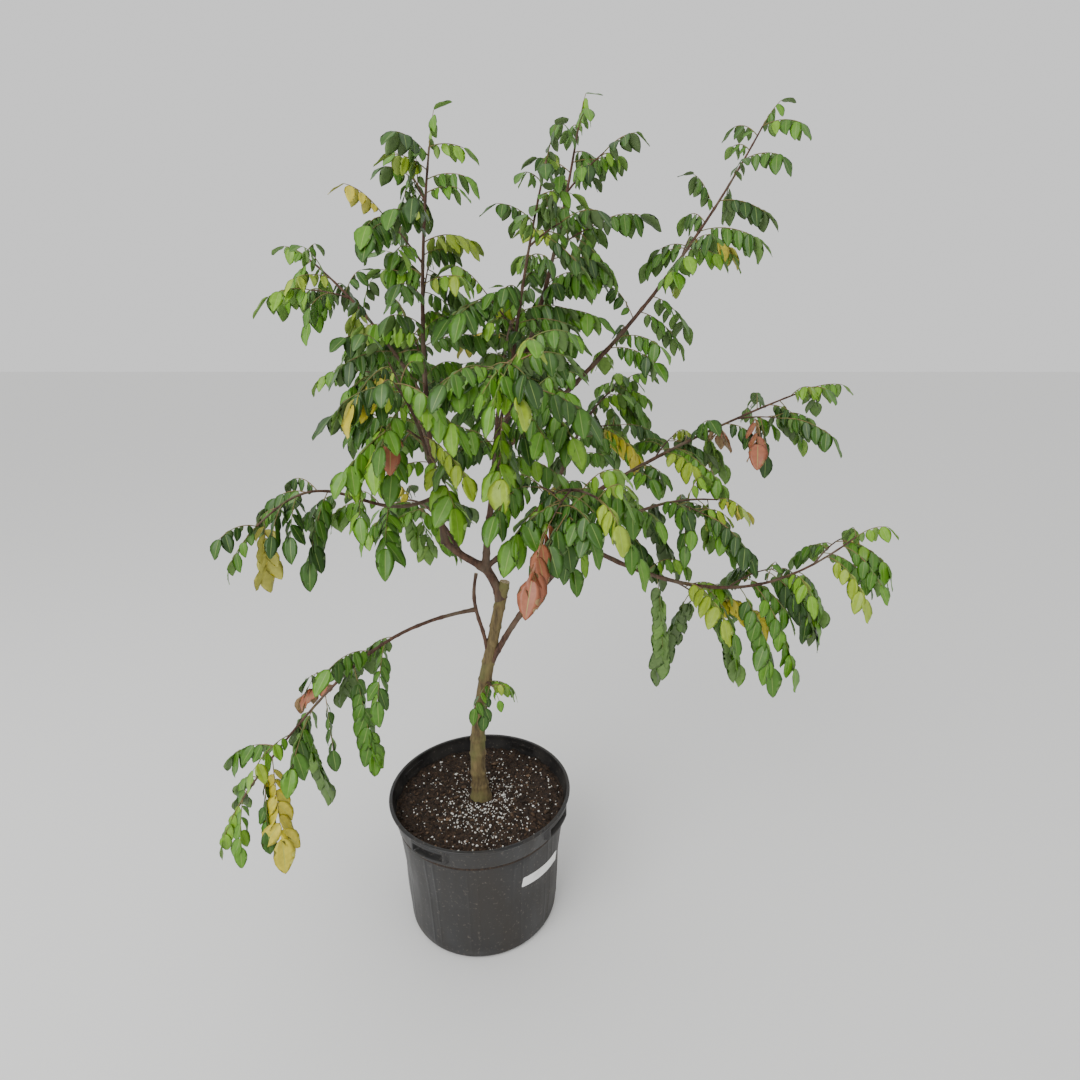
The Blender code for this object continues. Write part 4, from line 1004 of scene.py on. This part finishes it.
leaf_finishes = []
for green_name, green in GREENS.items():
    green = np.array(green)
    leaf_finishes.append(leaf_finish(f"leaf_{green_name}", tuple(green), 0.42))
    leaf_finishes.append(leaf_finish(f"leaf_{green_name}_under",
                                     tuple(0.62 * green + 0.38 * np.array(UNDERSIDE)), 0.62))
    leaf_finishes.append(principled(f"midrib_{green_name}",
                                    tuple(0.55 * green + 0.45 * np.array(RIB_LIGHT)), 0.5)[0])
stalk_green, stalk_shader = principled("leaf_stalk", (0.16, 0.17, 0.045), 0.6)
stalk_tint = mottle(stalk_green, (0.12, 0.16, 0.030), (0.24, 0.12, 0.055), 30.0)
stalk_green.node_tree.links.new(stalk_tint.outputs["Colour"], stalk_shader.inputs["Base Color"])


def leaflets_of(leaves, mass):
    """Root, axis, across, normal, length, width, shape and colour of a mass's leaflets.

    They stand in turn on the two sides of each stalk, from a fifth of its length on, and
    one at its tip.  All leaflets of a leaf share a colour, now and then one shade off.
    """
    rng = random.Random(mass.seed + 300)
    rows = []
    for line, youth in leaves:
        stalk = np.linalg.norm(line[-1] - line[0])
        count = max(3, round(stalk / LEAFLET_SPACING))
        shares = [old * (1 - youth) + young * youth for old, young in zip(OLD_SHARES, YOUNG_SHARES)]
        tone = rng.choices(range(len(GREENS)), shares)[0]
        hang = rng.uniform(14, 40)
        grown = LEAFLET_LENGTH * rng.uniform(0.85, 1.15) * (stalk / 0.12) ** 0.5
        for order in range(count + 1):
            share = 0.20 + 0.80 * order / count
            at = min(share * (STALK_POINTS - 1), STALK_POINTS - 1.001)
            low = int(at)
            tangent = unit(line[low + 1] - line[low])
            root = line[low] + (at - low) * (line[low + 1] - line[low])
            side = unit(np.cross(tangent, UP) + 1e-6)
            hand = 1 if order % 2 else -1
            spread = math.radians(hang + rng.uniform(-12, 12))
            if order < count:
                axis = unit(hand * side * math.sin(spread) - UP * math.cos(spread)
                            + rng.uniform(0.10, 0.45) * tangent)
                across = unit(tangent - (tangent @ axis) * axis)
                normal = np.cross(axis, across)
                if normal @ (hand * side + 0.3 * UP) < 0:
                    normal = -normal
            else:
                axis = unit(tangent - rng.uniform(0.3, 1.1) * UP)
                across = unit(side - (side @ axis) * axis)
                normal = np.cross(across, axis)
                if normal @ UP < 0:
                    normal = -normal
            twist = math.radians(rng.uniform(-24, 24))
            across, normal = (math.cos(twist) * across + math.sin(twist) * normal,
                              math.cos(twist) * normal - math.sin(twist) * across)
            if np.cross(axis, across) @ normal < 0:
                across = -across
            length = grown * (0.52 + 0.48 * share) * rng.uniform(0.9, 1.1)
            width = length * LEAFLET_WIDTH * rng.uniform(0.88, 1.12)
            off = rng.choice((-1, 0, 0, 0, 0, 1)) if tone < 5 else 0
            rows.append((*root, *axis, *across, *normal, length, width,
                         math.radians(rng.uniform(4, 20)), rng.uniform(0.02, 0.16),
                         rng.uniform(0, 6.28), min(max(tone + off, 0), len(GREENS) - 1)))
    return np.array(rows)


LIMB_PROBES = np.vstack([
    np.column_stack([limb_line(limb, np.linspace(0, limb.bare, 80)),
                     limb.foot + (limb.tip - limb.foot) * np.linspace(0, limb.bare, 80)])
    for limb in LIMBS if limb.bare > 0])
BOX_LOW = np.array(cad_box[0]) - 0.006
BOX_HIGH = np.array(cad_box[1]) + 0.006


def clear_of_wood(rows):
    """Which leaflets keep off the bare wood and inside the solids' reach."""
    keep = np.ones(len(rows), bool)
    for share in (0.35, 0.7, 1.0):
        spot = rows[:, :3] + share * rows[:, 12:13] * rows[:, 3:6]
        span = np.linalg.norm(spot[:, None] - LIMB_PROBES[None, :, :3], axis=2)
        keep &= (span > LIMB_PROBES[None, :, 3] + 0.004).all(1)
        keep &= ((spot > BOX_LOW) & (spot < BOX_HIGH)).all(1)
    return rows[keep]


def leaf_mesh(mass, leaves):
    """All leaflets of a mass as one mesh, each face with its leaf's colour."""
    rows = clear_of_wood(leaflets_of(leaves, mass))
    count = len(rows)
    points = blade_points(rows[:, 0:3], rows[:, 3:6], rows[:, 6:9], rows[:, 9:12], rows[:, 12],
                          rows[:, 13], rows[:, 14], rows[:, 15], rows[:, 16])
    quads, ends, strips, end_strips = blade_faces(count)
    around = len(BLADE_ACROSS)
    part = np.where(np.arange(around) == 2, 2, np.where(np.arange(around) < 5, 0, 1))
    tones = 3 * rows[:, 17].astype(int)
    kinds = np.concatenate([(tones[:, None] + part[strips][None]).ravel(),
                            (tones[:, None] + part[end_strips][None]).ravel()])
    return piece("leaves_" + mass.limb, points, [quads, ends], leaf_finishes, kinds), count


def joined(parts):
    """One set of points and faces from several, each of them points, quads and end caps."""
    shift = np.cumsum([0] + [len(points) for points, quads, caps in parts[:-1]])
    points = np.vstack([points for points, quads, caps in parts])
    quads = [quads + start for (points_, quads, caps), start in zip(parts, shift)]
    caps = [caps + start for (points_, quads, caps), start in zip(parts, shift)]
    return points, quads, caps


def wood_mesh(mass, twigs, leaves):
    """A mass's stem, side twigs and leaf stalks, joined in one mesh."""
    limb = LIMB_NAMED[mass.limb]
    parts = []
    kinds = []
    stem = bark_tube(limb, max(limb.bare - 0.002, 0.0), 1.0, 10)
    parts.append((stem.reshape(-1, 3), *tube_faces(1, len(stem), 10)))
    kinds.append(0)
    for lines, radii, sides, kind in ((twigs, (0.0021, 0.0011), 6, 0),
                                      ([line for line, youth in leaves], (0.00110, 0.00055), 5, 1)):
        if not lines:
            continue
        lines = np.array(lines)
        across = np.cross(lines[:, -1] - lines[:, 0], UP) + 1e-4
        taper = np.broadcast_to(np.linspace(*radii, STALK_POINTS), lines.shape[:2])
        rings = tubes(lines, taper, across, sides)
        parts.append((rings.reshape(-1, 3), *tube_faces(len(lines), STALK_POINTS, sides)))
        kinds.append(kind)
    points, quads, caps = joined(parts)
    face_kinds = [np.full(len(rows), kind) for rows, kind in zip(quads + caps, kinds + kinds)]
    return piece("twigs_" + mass.limb, points, quads + caps, [bough_bark, stalk_green],
                 np.concatenate(face_kinds))


leaflet_total = 0
for mass in FOLIAGE:
    mass_twigs, mass_leaves = grow(mass)
    leaf_piece, leaf_count = leaf_mesh(mass, mass_leaves)
    leaflet_total += leaf_count
    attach(leaf_piece, "root")
    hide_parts("foliage_" + mass.limb)
    twig_piece = wood_mesh(mass, mass_twigs, mass_leaves)
    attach(twig_piece, "root")
